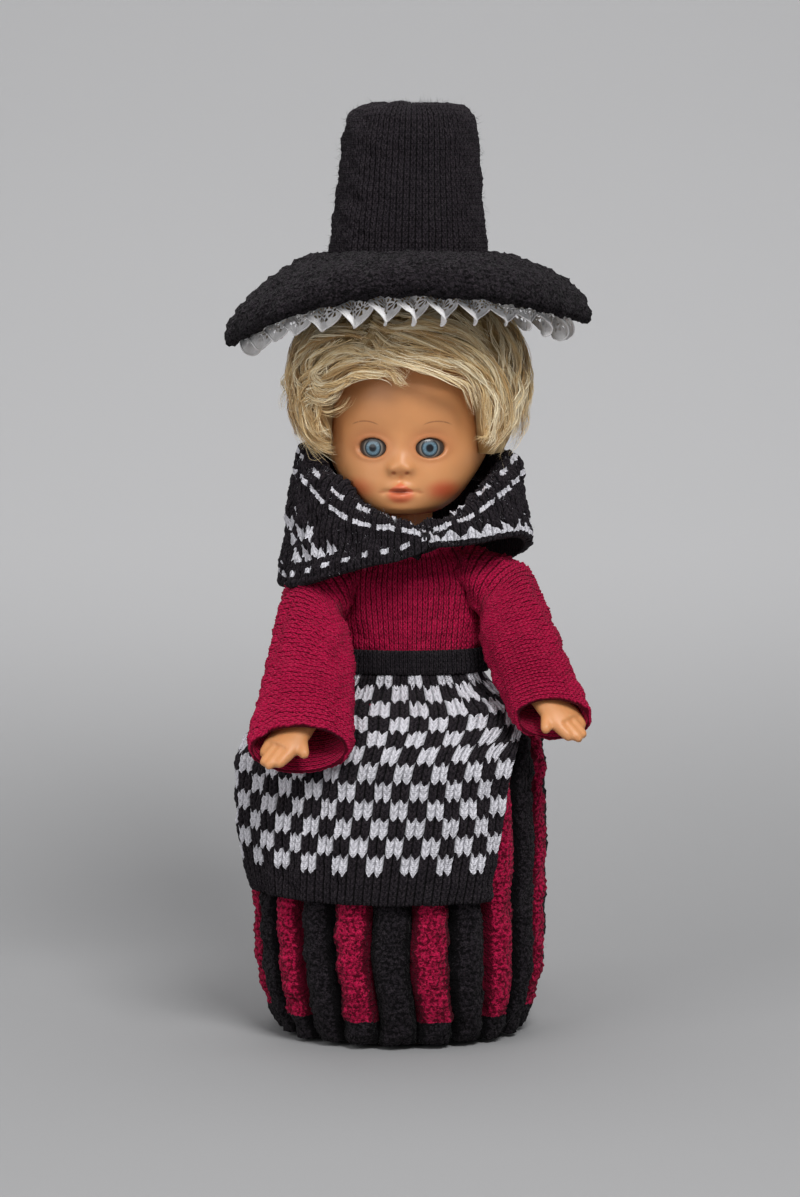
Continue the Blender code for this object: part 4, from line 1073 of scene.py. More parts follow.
def torso_surface(low, high, offset, blouse=0.0):
    """Ring surface a given distance outside the torso; a blouse stands out above the waist."""
    def surface(s, t):
        a = math.pi + TAU * s
        z = low + (high - low) * t
        width, depth = curve(TORSO_ROWS, 1, z), curve(TORSO_ROWS, 2, z)
        width = width + blouse * hill(z, 163.0, 12.0)
        return polar(a, oval(a, width + offset, depth + offset, depth + offset), z)
    return surface


BODICE_HEIGHTS = (148.8, 201.3)
WAISTBAND_HEIGHTS = (145.6, 155.4)
CHEST_HALF_WIDTH = 27.0
# Half size of the sleeve at its armhole
SLEEVE_ROOT = 14.0
CUFF_TILT = math.radians(22.0)


class Arm:
    """Where one arm goes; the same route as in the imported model."""

    def __init__(self, side, label, tips, cuff, cuff_half_width, cuff_half_height):
        self.side = side
        self.label = label
        self.body = f"{label}_arm"
        self.tips = Vector(tips)
        self.cuff = Vector(cuff)
        self.half_width = cuff_half_width
        self.half_height = cuff_half_height
        self.forward = Vector((0.0, self.cuff.y, self.cuff.z - SHOULDER_Z)).normalized()

    def along(self, share, bend):
        start = Vector((self.side * (CHEST_HALF_WIDTH + 2.9), 0.0, SHOULDER_Z))
        return start.lerp(self.cuff, share) + Vector((self.side * bend, 0.0, 0.0))

    def axes(self, turn):
        angle = turn * math.pi / 2.0
        outward = Vector((self.side, 0.0, 0.0))
        across = outward * math.sin(angle) - self.forward * math.cos(angle)
        up = Vector((1.0, 0.0, 0.0)).cross(self.forward)
        lean = float(eased(turn, 0.85, 1.0))
        cuff_up = Vector((0.0, -math.sin(CUFF_TILT), math.cos(CUFF_TILT)))
        up = up.lerp(cuff_up if up.z > 0.0 else -cuff_up, lean)
        return across.normalized(), up.normalized()

    def stations(self):
        """Centre, turn and outer half sizes of the sleeve from armhole to cuff."""
        width, height, root = self.half_width, self.half_height, SLEEVE_ROOT
        return (
            (self.along(0.0, 0.0), 0.0, root, root),
            (self.along(0.13, 4.2), 0.4, root, root - 0.5),
            (self.along(0.38, 2.2), 0.72, 0.6 * root + 0.4 * width, 0.7 * root + 0.3 * height),
            (self.along(0.7, 0.6), 0.9, 0.25 * root + 0.75 * width, 0.4 * root + 0.6 * height),
            (self.along(0.9, 0.0), 0.97, width, 0.15 * root + 0.85 * height),
            (self.cuff, 1.0, width, height),
        )


ARMS = (
    Arm(-1.0, "right", (-55.5, -69.0, 116.5), (-42.0, -62.0, 121.5), 19.5, 11.0),
    Arm(1.0, "left", (68.5, -53.0, 125.0), (56.6, -47.5, 131.5), 15.2, 9.5),
)


def sleeve_surface(arm):
    """Bell of the sleeve: s goes round it and t from the armhole to the cuff."""
    rows = []
    for center, turn, half_width, half_height in arm.stations():
        across, up = arm.axes(turn)
        rows.append((center, across * half_width, up * half_height))
    shares = [0.0]
    for first, second in zip(rows, rows[1:]):
        shares.append(shares[-1] + (second[0] - first[0]).length)
    shares = [share / shares[-1] for share in shares]
    columns = []
    for part in range(3):
        for axis in range(3):
            columns.append([(share, row[part][axis]) for share, row in zip(shares, rows)])

    def surface(s, t):
        values = [curve(column, 1, t) for column in columns]
        center = np.stack(values[0:3], -1)
        across = np.stack(values[3:6], -1)
        up = np.stack(values[6:9], -1)
        a = TAU * s[..., None]
        points = center + across * np.cos(a) + up * np.sin(a)
        near = 1.0 - eased(t, 0.0, 0.22)
        z = np.clip(points[..., 2], TORSO_ROWS[0][0], 196.0)
        half_width, half_depth = curve(TORSO_ROWS, 1, z) + 2.5, curve(TORSO_ROWS, 2, z) + 2.5
        inside = np.clip(1.0 - (points[..., 1] / half_depth) ** 2, 0.05, 1.0)
        seam_x = arm.side * (half_width * np.sqrt(inside) - 0.6)
        points[..., 0] += (seam_x - points[..., 0]) * near
        return points
    return surface


# Skirt and apron

RIB_COUNT = 22
RIB_STITCHES = 7
RIB_DEPTH = 6.5
RIB_FIRST = math.radians(-3.8)
RIB_SWAY = math.radians(5.0)
SKIRT_HEM_Z = 1.0
WAIST_HALF_WIDTH = 26.0
WAIST_HALF_DEPTH = 16.0
# Depth of the skirt's round for a width of 1
SKIRT_FLATNESS = 0.93
SKIRT_TOP_Z = 148.4
HEM_ROWS = 4.4
# Rows of height and radius at the crest of a rib
SKIRT_ROWS = [
    (SKIRT_HEM_Z, 48.5),
    (6.0, 51.5),
    (15.0, 55.0),
    (60.0, 59.0),
    (100.0, 58.5),
    (119.0, 56.5),
    (130.0, 46.5),
    (139.0, 37.5),
    (SKIRT_TOP_Z, 30.5),
]
APRON_HEM_Z = 61.0
APRON_COLUMNS = 36
APRON_HEM_ROWS = 4.6
# Rows of height and the azimuths of the apron's two side edges in degrees
APRON_EDGES = [
    (APRON_HEM_Z, -76.0, 36.0),
    (89.4, -76.0, 41.0),
    (121.2, -76.0, 49.0),
    (134.1, -78.0, 60.0),
    (WAIST_Z, -80.0, 74.0),
]


def skirt_center_x(z):
    return -3.0 * (1.0 - eased(z, 110.0, WAIST_Z))


def waist_oval(radius, z, offset):
    """Half width and half depth at a height: round below, and the waist's oval at the top."""
    share = eased(z, 132.0, WAIST_Z + 1.0)
    half_width = radius * (1.0 - share) + (WAIST_HALF_WIDTH + offset) * share
    half_depth = SKIRT_FLATNESS * radius * (1.0 - share) + (WAIST_HALF_DEPTH + offset) * share
    return half_width, half_depth


def rows_by_length(low, high):
    """Share of the way up the skirt's line that each height between two heights has."""
    z = np.linspace(low, high, 120)
    steps = np.hypot(np.diff(z), np.diff(curve(SKIRT_ROWS, 1, z)))
    along = np.concatenate([[0.0], np.cumsum(steps)])
    return along / along[-1], z


def rib_sway(azimuth, z):
    """How far the ribs lean towards the doll's left near the hem."""
    share = 0.25 + 0.75 * eased(np.sin(azimuth), -0.4, 0.4)
    return RIB_SWAY * share * (1.0 - eased(z, 0.0, 44.0))


def skirt_surface(s, t):
    """The ribbed skirt; a rib starts at each whole step of its azimuth."""
    a = RIB_FIRST + TAU * (s - 0.5 / RIB_COUNT) + math.pi
    z = np.interp(t, *SKIRT_PLACES)
    crest = curve(SKIRT_ROWS, 1, z)
    rib = np.abs(np.cos(RIB_COUNT / 2.0 * (a - RIB_FIRST))) ** 0.62
    depth = RIB_DEPTH * np.clip((crest - 31.0) / 16.0, 0.0, 1.0) * (0.6 + 0.4 * eased(z, 1.0, 12.0))
    depth = depth * (1.0 + 0.12 * np.sin(5.0 * a + z / 9.0))
    half_width, half_depth = waist_oval(crest - depth * (1.0 - rib), z, 2.2)
    turned = a + rib_sway(a, z) + 0.012 * np.sin(z / 7.0 + 3.0 * a)
    z = z + 1.1 * (1.0 - rib) * (1.0 - eased(z, 1.0, 14.0))
    return np.stack([skirt_center_x(z) + half_width * np.sin(turned), -half_depth * np.cos(turned), z], -1)


# Share across the apron and its azimuth in degrees along the waist
APRON_TOP_TURNS = [
    (0.0, -92.0), (0.1, -87.0), (0.21, -81.0), (0.32, -70.0), (0.44, -38.0), (0.56, -10.0), (0.68, 13.0),
    (0.79, 37.0), (0.91, 70.0), (1.0, 84.0),
]


def apron_surface(s, t):
    """The apron's panel, lying on the ribs; it bulges a little between them."""
    z = np.interp(t, *APRON_PLACES)
    right, left = np.radians(curve(APRON_EDGES, 1, z)), np.radians(curve(APRON_EDGES, 2, z))
    gathered = eased(z, 116.0, 145.0)
    a = (right + (left - right) * s) * (1.0 - gathered) + np.radians(curve(APRON_TOP_TURNS, 1, s)) * gathered
    crest = curve(SKIRT_ROWS, 1, z)
    slope = crest - curve(SKIRT_ROWS, 1, z - 1.0)
    height = (z - APRON_HEM_Z) / (WAIST_Z - APRON_HEM_Z)
    rise = np.sin(math.pi * np.minimum(height * 1.1, 1.0))
    flare = 5.5 * eased(-a, math.radians(28.0), math.radians(75.0)) * rise
    sag = 0.7 * np.cos(RIB_COUNT * (a - RIB_FIRST - rib_sway(a, z))) * eased(1.0 - height, 0.1, 0.5)
    fall = 0.9 * np.sin(9.0 * a + 0.8 * np.sin(z / 17.0)) * np.sin(math.pi * height)
    radius = crest + 2.6 + 0.75 * np.hypot(1.0, slope) + flare + sag + fall
    half_width, half_depth = waist_oval(radius, z, 4.3)
    return np.stack([skirt_center_x(z) + half_width * np.sin(a), -half_depth * np.cos(a), z], -1)


SKIRT_PLACES = rows_by_length(SKIRT_HEM_Z, SKIRT_TOP_Z)
APRON_PLACES = rows_by_length(APRON_HEM_Z - 1.5, WAIST_Z + 0.8)


# Shawl

SHAWL_COLUMNS = 98
SHAWL_PLAIN_COLUMN = 40.0
SHAWL_COURSES = 46
SHAWL_ROW = 2.35
SHAWL_LINE_SHARE = 0.66
SHAWL_CHECK_ROW = 5.6
# Added to the distance from the hem on the half that has no pointed white edge
SHAWL_NO_BAND = 99.0
SHAWL_RIGHT_END = 11.0
SHAWL_LEFT_START = -14.0

# Rows of azimuth in degrees, then radius and height of the rim, the line, the middle and the hem
SHAWL_RIGHT_ROWS = [
    (-180.0, 39.5, 232.0, 44.0, 226.0, 44.5, 208.0, 41.0, 185.0),
    (-130.0, 40.5, 233.0, 45.0, 226.0, 47.0, 207.0, 46.5, 183.0),
    (-90.0, 40.5, 234.5, 45.0, 226.5, 48.0, 206.0, 51.5, 180.0),
    (-70.0, 38.5, 232.0, 44.0, 223.5, 46.5, 205.0, 50.0, 180.0),
    (-50.0, 35.0, 224.0, 41.8, 214.5, 44.0, 200.0, 46.5, 184.0),
    (-35.0, 33.5, 216.5, 40.0, 209.0, 42.0, 198.5, 43.5, 187.5),
    (-20.0, 33.5, 212.0, 39.0, 206.5, 41.0, 198.5, 42.0, 190.5),
    (-5.0, 34.0, 208.8, 39.0, 205.5, 41.0, 199.5, 41.5, 192.5),
    (12.0, 36.5, 204.0, 40.0, 202.8, 41.5, 200.5, 41.5, 197.0),
]
SHAWL_LEFT_ROWS = [
    (-14.0, 32.5, 203.5, 35.5, 202.0, 37.0, 199.5, 38.0, 197.0),
    (5.0, 32.5, 206.0, 36.5, 204.5, 38.3, 201.0, 39.0, 197.6),
    (20.0, 32.5, 207.8, 37.5, 206.0, 40.0, 202.5, 41.0, 198.0),
    (40.0, 33.5, 213.0, 39.5, 210.5, 42.5, 205.5, 44.0, 199.0),
    (55.0, 36.0, 221.0, 41.5, 216.0, 44.5, 208.0, 46.5, 200.5),
    (75.0, 39.0, 229.0, 43.5, 222.0, 46.5, 211.0, 49.0, 200.0),
    (90.0, 40.0, 231.5, 44.5, 225.0, 47.0, 210.0, 49.5, 196.0),
    (130.0, 40.5, 233.0, 45.0, 226.0, 47.0, 207.0, 46.5, 186.0),
    (180.0, 39.5, 232.0, 44.0, 226.0, 44.5, 208.0, 41.0, 185.0),
]


def shawl_surface(rows, start, end):
    """One half of the shawl: t goes from the neck over the rolled collar to the hem."""
    def surface(s, t):
        a = start + (end - start) * s
        degrees = np.degrees(a)
        values = [curve(rows, k, degrees) for k in range(1, 9)]
        rim_r, rim_z, line_r, line_z, mid_r, mid_z, hem_r, hem_z = values
        spots = (
            (rim_r - 8.0, rim_z - 11.0),
            (rim_r - 3.2, rim_z - 3.5),
            (rim_r + 0.4, rim_z - 0.2),
            (0.45 * rim_r + 0.55 * line_r + 0.9, 0.6 * rim_z + 0.4 * line_z),
            (line_r, line_z),
            (mid_r, mid_z),
            (hem_r, hem_z),
        )
        return path_through([polar(a, radius, z) for radius, z in spots], t)
    return surface


def shawl_places(surface, columns):
    """Stitch numbers that follow the cloth's real length from its white line."""
    def places(s, t):
        fine = np.linspace(0.0, 1.0, 90)
        turns = s[0]
        grid_s, grid_t = np.meshgrid(turns, fine)
        steps = np.linalg.norm(np.diff(surface(grid_s, grid_t), axis=0), axis=-1)
        along = np.concatenate([np.zeros((1, len(turns))), np.cumsum(steps, axis=0)]) / SHAWL_ROW
        start = np.array([np.interp(SHAWL_LINE_SHARE, fine, column) for column in along.T])
        rows = np.stack([np.interp(t[:, k], fine, along[:, k]) for k in range(len(turns))], axis=1)
        return s * columns, rows - start[None, :]
    return places


# Hat

BRIM_RADIUS = 72.0
CROWN_RADIUS = 32.0
CROWN_LEAN = math.tan(math.radians(1.4))
LACE_RADIUS = 61.0
LACE_WIDTH = 11.0
LACE_WAVES = 31
LACE_MOTIF = 6.2
FLOWER_RADIUS = 2.7
# Length of the lace for each length of the ring it is gathered on
LACE_GATHER = 1.5


def brim_middle(azimuth, radius):
    side_droop = np.where(np.sin(azimuth) < 0.0, 29.0, 19.0)
    droop = 7.0 + (side_droop - 7.0) * np.sin(azimuth) ** 2
    share = np.clip((radius - CROWN_RADIUS) / (BRIM_RADIUS - CROWN_RADIUS), 0.0, 1.2)
    return BRIM_SEAT_Z - droop * share ** 1.6


# Rows of step round the brim's section, radius and height over its middle
BRIM_SECTION = [
    (0.0, 31.0, 4.0),
    (1.0, 40.0, 5.4),
    (2.0, 52.0, 6.0),
    (3.0, 63.0, 6.4),
    (4.0, 70.2, 4.4),
    (4.7, 72.2, 0.0),
    (5.4, 70.2, -4.2),
    (6.4, 63.0, -5.8),
    (7.4, 52.0, -5.4),
    (8.4, 40.0, -5.2),
    (9.4, 31.0, -4.0),
]


def brim_surface(s, t):
    a = math.pi + TAU * s
    place = t * BRIM_SECTION[-1][0]
    radius, offset = curve(BRIM_SECTION, 1, place), curve(BRIM_SECTION, 2, place)
    return polar(a, radius, brim_middle(a, radius) + offset)


# Rows of share of the way up, radius and height
CROWN_ROWS = [
    (0.0, 31.6, 302.0), (0.2, 31.0, 315.0), (0.42, 29.0, 332.0), (0.62, 27.4, 349.0), (0.76, 26.2, 360.0),
    (0.84, 24.0, 366.5), (0.91, 18.0, 370.2), (0.96, 9.0, 370.6), (1.0, 0.4, 370.6),
]


def crown_surface(s, t):
    a = math.pi + TAU * s
    radius, z = curve(CROWN_ROWS, 1, t), curve(CROWN_ROWS, 2, t)
    return polar(a, radius, z, CROWN_LEAN * (z - BRIM_SEAT_Z))


def lace_points(u, v):
    """The frill in folds; u goes round in waves and v from the brim to the free edge."""
    a = TAU * u / LACE_WAVES
    phase = TAU * u
    open_up = eased(v, 0.0, 0.9)
    uneven = 1.0 + 0.35 * np.sin(5.3 * a + 1.0)
    wave = phase + 0.8 * np.sin(3.0 * a) + 0.5 * np.sin(7.0 * a)
    swing = 3.0 * uneven * np.cos(wave) * open_up
    fold = 1.3 * uneven * np.sin(2.0 * wave + 0.5) * open_up / LACE_RADIUS
    radius = LACE_RADIUS + 1.5 * v + swing
    top = brim_middle(a, LACE_RADIUS) - 5.2
    fall = LACE_WIDTH * (0.72 + 0.34 * uneven * np.sin(wave))
    return polar(a + fold, radius, top - v * fall)


def make_lace(material):
    per_wave, rows = 28, 8
    u = np.arange(LACE_WAVES * per_wave) / per_wave
    v = np.linspace(0.0, 1.0, rows)
    grid_u, grid_v = np.meshgrid(u, v)
    motifs = u * TAU * LACE_RADIUS * LACE_GATHER / (LACE_WAVES * LACE_MOTIF)
    scallop = 0.5 * np.abs(np.sin(math.pi * motifs))[None, :] * grid_v
    points = lace_points(grid_u, grid_v)
    points[..., 2] -= scallop
    mesh = grid_mesh("lace_frill_cloth", points, *even_grid(motifs, v), True, False)
    lace = add_object("lace_frill_cloth", mesh, material, "head")
    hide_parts("lace_frill")
    cord = cord_ring("lace_edge_cord", points[-1], 0.42, material)
    return lace, cord


def cord_ring(name, spine, radius, material):
    """A thin round cord along a closed line of points."""
    along = np.roll(spine, -1, axis=0) - np.roll(spine, 1, axis=0)
    along /= np.linalg.norm(along, axis=1, keepdims=True)
    side = np.cross(along, (0.0, 0.0, 1.0))
    side /= np.linalg.norm(side, axis=1, keepdims=True)
    up = np.cross(side, along)
    turns = TAU * np.arange(6) / 6.0
    points = np.stack([spine + radius * (side * math.cos(a) + up * math.sin(a)) for a in turns])
    mesh = grid_mesh(name, points, *even_grid(np.arange(len(spine)) * 0.1, np.full(6, 3.0)), True, True)
    return add_object(name, mesh, material, "head")


# Arms and hands

# Size of the steps in which the parts of a hand are melted into one skin
SKIN_VOXEL = 0.7


def tube_part(points, faces, spine, sizes, across, up, sides):
    """Add a closed tapered limb along a spine to lists of points and faces."""
    start = len(points)
    for center, (half_width, half_height) in zip(spine, sizes):
        for k in range(sides):
            a = TAU * k / sides
            points.append(center + across * (half_width * math.cos(a)) + up * (half_height * math.sin(a)))
    for row in range(len(spine) - 1):
        for k in range(sides):
            a, b = start + row * sides + k, start + row * sides + (k + 1) % sides
            faces.append((a, b, b + sides, a + sides))
    faces.append(tuple(range(start + sides - 1, start - 1, -1)))
    last = start + (len(spine) - 1) * sides
    faces.append(tuple(range(last, last + sides)))


def make_arm(arm, material):
    """A vinyl arm with a hand of four fingers and a thumb."""
    points, faces = [], []
    _, up = arm.axes(1.0)
    if up.z < 0.0:
        up = -up
    wrist = arm.along(0.86, 0.0)
    reach = (arm.tips - wrist).normalized()
    span = (arm.tips - wrist).length
    spine = [arm.along(*spot) for spot in ((0.0, 1.0), (0.13, 4.2), (0.38, 2.2), (0.7, 0.6))]
    spine.append(wrist)
    sizes = [(6.5, 6.5), (7.6, 7.4), (7.2, 6.8), (6.0, 5.6), (4.9, 4.4)]
    side_axis = reach.cross(up).normalized()
    tube_part(points, faces, spine, sizes, side_axis, reach.cross(side_axis).normalized(), 20)
    palm_up = side_axis.cross(reach).normalized()
    palm_up = palm_up if palm_up.z > 0.0 else -palm_up
    palm = [wrist - reach * 2.0]
    palm += [wrist + reach * span * share for share in (0.2, 0.45, 0.62)]
    tube_part(points, faces, palm, [(5.2, 4.4), (7.0, 4.4), (8.0, 3.9), (7.6, 3.2)], side_axis, palm_up, 20)
    outward = side_axis if side_axis.x * arm.side > 0.0 else -side_axis
    for k, length in enumerate((0.9, 1.0, 0.97, 0.82)):
        offset = (1.5 - k) * 3.7
        base = wrist + reach * span * 0.5 + outward * -offset
        tip = wrist + reach * span * length + outward * (-offset * 0.8) - palm_up * 1.2
        finger = [base, base.lerp(tip, 0.5), base.lerp(tip, 0.85), tip]
        finger_sizes = [(2.3, 2.6), (2.3, 2.4), (2.0, 2.0), (1.2, 1.2)]
        tube_part(points, faces, finger, finger_sizes, side_axis, palm_up, 10)
    thumb_root = wrist + reach * span * 0.25 - outward * 3.0
    thumb_tip = thumb_root - outward * 8.5 + reach * 8.0 - palm_up * 1.0
    thumb = [thumb_root, thumb_root.lerp(thumb_tip, 0.5), thumb_root.lerp(thumb_tip, 0.85), thumb_tip]
    thumb_along = (thumb_tip - thumb_root).normalized()
    thumb_side = thumb_along.cross(palm_up).normalized()
    tube_part(points, faces, thumb, [(2.8, 2.6), (2.5, 2.3), (2.2, 2.0), (1.2, 1.1)], thumb_side, palm_up, 12)
    mesh = bpy.data.meshes.new(f"vinyl_arm_{arm.label}")
    mesh.from_pydata([point * MM for point in points], [], faces)
    rough = bpy.data.objects.new("rough_arm", mesh)
    bpy.context.scene.collection.objects.link(rough)
    melt = rough.modifiers.new("Melt", "REMESH")
    melt.mode = "VOXEL"
    melt.voxel_size = SKIN_VOXEL * MM
    soften = rough.modifiers.new("Soften", "SMOOTH")
    soften.factor = 0.5
    soften.iterations = 3
    graph = bpy.context.evaluated_depsgraph_get()
    smooth = bpy.data.meshes.new_from_object(rough.evaluated_get(graph))
    smooth.name = f"vinyl_arm_{arm.label}"
    bpy.data.objects.remove(rough)
    made = add_object(f"vinyl_arm_{arm.label}", smooth, material, arm.body)
    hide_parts(f"arm_{arm.label}")
    return made


# Settings

def tone_setting(name, description, code):
    """A colour that can be set in the panel, from its six-digit screen colour."""
    return bpy.props.FloatVectorProperty(
        name=name, description=description, subtype="COLOR", default=hex_tone(code), min=0.0, max=1.0,
    )


class DollColors(bpy.types.PropertyGroup):
    crimson: tone_setting("Crimson wool", "Yarn of the dress", "bf0f47")
    black: tone_setting("Black wool", "Yarn of the hat, the shawl and the bands", "221e23")
    white: tone_setting("White wool", "Yarn of the checks", "e2e1e8")
    skin: tone_setting("Skin", "Vinyl of the head and the limbs", "d5945f")
    lips: tone_setting("Lips", "Paint of the lips", "dc6a45")
    blush: tone_setting("Blush", "Paint of the cheeks", "cc4c28")
    hair: tone_setting("Hair", "Fibre of the hair", "f3d7a0")


class DollKnit(bpy.types.PropertyGroup):
    relief: bpy.props.FloatProperty(
        name="Stitch relief", description="Height of a stitch over the cloth",
        default=0.8 * MM, min=0.0, max=2.0 * MM, unit="LENGTH", precision=5,
    )
    wall: bpy.props.FloatProperty(
        name="Cloth thickness", description="Thickness of the knitted cloth",
        default=1.9 * MM, min=0.5 * MM, max=4.0 * MM, unit="LENGTH", precision=5,
    )
    hair_density: bpy.props.FloatProperty(
        name="Hair density", description="Share of the full number of strands",
        default=1.0, min=0.05, max=1.0,
    )
    fuzz_length: bpy.props.FloatProperty(
        name="Fuzz length", description="Length of the loose fibres on the wool",
        default=2.2 * MM, min=0.0, max=6.0 * MM, unit="LENGTH", precision=5,
    )


class DollStage(bpy.types.PropertyGroup):
    backdrop: tone_setting("Backdrop", "Colour of the floor and the wall", "b6b6b7")
    key_power: bpy.props.FloatProperty(
        name="Key lamp", description="Power of the lamp at the front right",
        default=21.0, min=0.0, unit="POWER",
    )
    fill_power: bpy.props.FloatProperty(
        name="Fill lamps", description="Power of the lamps at the front left and at the top",
        default=7.5, min=0.0, unit="POWER",
    )


def knit_of(context):
    return context.scene.doll_knit


def colors_of(context):
    return context.scene.doll_colors


# Operators

# The backdrop in metres: a floor that bends up into a wall
FLOOR_FRONT_Y = -1.6
BEND_START_Y = 0.2
BEND_RADIUS = 0.45
WALL_TOP_Z = 2.6
WALL_HALF_WIDTH = 3.0


class DOLL_OT_stage(bpy.types.Operator):
    """Floor, backdrop, lamps and camera"""

    bl_idname = "doll.stage"
    bl_label = "Build stage"

    def execute(self, context):
        stage = context.scene.doll_stage
        paint = Finish("backdrop_paper", roughness=0.9, specular_ior_level=0.1)
        height = paint.split(paint.place())[2]
        # Painted shade: the floor is 0.72 as bright as the wall and brightens to the wall's colour over the
        # first 0.16 m of height
        tone = paint.mix(height.ramp(0.0, 0.16), darker(stage.backdrop[:], 0.72), stage.backdrop[:])
        # From behind, the wall is clear, so the doll's back can be looked at too
        behind = paint.node("ShaderNodeNewGeometry", {}, {}, "Backfacing")
        material = paint.feed(base_color=tone, alpha=1.0 - behind)
        profile = [(FLOOR_FRONT_Y, 0.0), (BEND_START_Y, 0.0)]
        for k in range(1, 13):
            turn = math.pi / 2.0 * k / 12.0
            rise = BEND_RADIUS * (1.0 - math.cos(turn))
            profile.append((BEND_START_Y + BEND_RADIUS * math.sin(turn), rise))
        profile.append((BEND_START_Y + BEND_RADIUS, WALL_TOP_Z))
        sides = (-WALL_HALF_WIDTH, WALL_HALF_WIDTH)
        points = np.array([[(x, y, z) for x in sides] for y, z in profile]) / MM
        places = even_grid(np.array([0.0, 1.0]), np.arange(len(profile)) * 1.0)
        mesh = grid_mesh("backdrop", points, *places, False, False)
        mesh.materials.append(material)
        mesh.shade_smooth()
        backdrop = bpy.data.objects.new("backdrop", mesh)
        context.scene.collection.objects.link(backdrop)
        add_lamp("key_lamp", (0.4, -1.15, 1.35), 0.6, stage.key_power)
        add_lamp("fill_lamp", (-1.0, -1.1, 0.8), 1.0, stage.fill_power)
        add_lamp("top_lamp", (0.0, 0.1, 1.6), 0.9, stage.fill_power)
        world = bpy.data.worlds.new("studio_air")
        world.use_nodes = True
        air = world.node_tree.nodes["Background"].inputs
        air["Color"].default_value = (0.8, 0.8, 0.82, 1.0)
        air["Strength"].default_value = 0.3
        context.scene.world = world
        context.scene.view_settings.view_transform = "Standard"
        data = bpy.data.cameras.new("photo_camera")
        data.sensor_fit = "VERTICAL"
        data.angle = CAMERA_ANGLE
        camera = bpy.data.objects.new("photo_camera", data)
        camera.location = CAMERA_SPOT
        camera.rotation_euler = (math.pi / 2.0 - CAMERA_PITCH, 0.0, 0.0)
        context.scene.collection.objects.link(camera)
        context.scene.camera = camera
        return {"FINISHED"}


def add_lamp(name, spot, size, power):
    """A square soft lamp that looks at the middle of the doll."""
    data = bpy.data.lights.new(name, "AREA")
    data.size = size
    data.energy = power
    lamp = bpy.data.objects.new(name, data)
    lamp.location = spot
    lamp.rotation_euler = (Vector((0.0, 0.0, 0.2)) - Vector(spot)).to_track_quat("-Z", "Y").to_euler()
    bpy.context.scene.collection.objects.link(lamp)


def paint_packed(name, material):
    """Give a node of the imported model, which stays in view, its material."""
    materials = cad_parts[name].data.materials
    materials.clear()
    materials.append(material)


class DOLL_OT_body(bpy.types.Operator):
    """Vinyl torso, legs, arms and hands"""

    bl_idname = "doll.body"
    bl_label = "Build body"

    def execute(self, context):
        material = skin_vinyl("body_vinyl", colors_of(context).skin[:])
        for name in ("torso", "leg_left", "leg_right"):
            paint_packed(name, material)
        for arm in ARMS:
            make_arm(arm, material)
        return {"FINISHED"}


class DOLL_OT_head(bpy.types.Operator):
    """Painted vinyl head with its glass eyes"""

    bl_idname = "doll.head"
    bl_label = "Build head"

    def execute(self, context):
        make_head(colors_of(context))
        glass = eye_glass("eye_glass_paint")
        make_eye(-1.0, "right", glass)
        make_eye(1.0, "left", glass)
        return {"FINISHED"}


class DOLL_OT_hair(bpy.types.Operator):
    """Short wavy blonde hair"""

    bl_idname = "doll.hair"
    bl_label = "Build hair"

    def execute(self, context):
        colors = colors_of(context)
        make_hair_mass(hair_base("hair_mass_fibre", colors))
        fibre = hair_fibre("hair_strand_fibre", colors)
        make_hair_strands(fibre, knit_of(context))
        make_flyaways(fibre, knit_of(context))
        return {"FINISHED"}


class DOLL_OT_dress(bpy.types.Operator):
    """Crimson bodice with bell sleeves, and the ribbed skirt"""

    bl_idname = "doll.dress"
    bl_label = "Build dress"

    def execute(self, context):
        colors, knit = colors_of(context), knit_of(context)
        wall, relief = knit.wall / MM, knit.relief / MM
        crimson = plain_wool("crimson_yarn", colors.crimson[:])
        bodice = knit_piece(
            "bodice_knit",
            torso_surface(*BODICE_HEIGHTS, 2.5, blouse=1.8),
            Knit(
                columns=66, courses=27, wall=wall, material=crimson,
                relief=stocking_relief, depth=relief * 1.1, detail=(4, 3), lumps=0.4,
            ),
            "body",
        )
        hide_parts("bodice")
        for arm in ARMS:
            sleeve = knit_piece(
                f"sleeve_knit_{arm.label}",
                sleeve_surface(arm),
                Knit(
                    columns=50, courses=44, wall=wall, material=crimson,
                    relief=turned_relief, depth=relief * 1.3, detail=(3, 4), lumps=0.6,
                ),
                None,
                flip=sleeve_faces_in(arm),
                seed=11,
                turned=True,
            )
            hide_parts(f"sleeve_{arm.label}")
            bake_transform(sleeve)
        ribbed = rib_wool("ribbed_yarn", colors)
        skirt_knit = Knit(
            columns=RIB_COUNT * RIB_STITCHES, courses=60, wall=3.0, material=ribbed,
            relief=purl_relief, depth=0.55, detail=(3, 2), lumps=0.5,
        )
        skirt = knit_piece("skirt_knit", skirt_surface, skirt_knit, "body", seed=21)
        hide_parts("skirt")
        # Painted highlight: the loose fibres of the skirt get a copy of the black wool that is 1.4 times
        # lighter
        lit_fuzz_yarn = plain_wool("rib_fuzz_lit_yarn", darker(colors.black[:], 1.4))
        fuzz = knit.fuzz_length / MM * 0.7
        fuzz_piece("skirt_fuzz", skirt_surface, lit_fuzz_yarn, "body", 2200, fuzz, seed=23)
        return {"FINISHED"}


def turned_relief(u, v):
    """Plain knitting whose columns run round the piece."""
    return stocking_relief(v, u)


def sleeve_faces_in(arm):
    """Whether the sleeve's surface function has its normals pointing inwards."""
    surface = sleeve_surface(arm)
    s, t = np.array([[0.0, 0.25, 0.5, 0.75]]), np.full((1, 4), 0.6)
    outward = surface(s, t) - surface(s, t).mean(axis=1, keepdims=True)
    return float((surface_normals(surface, s, t) * outward).sum()) < 0.0


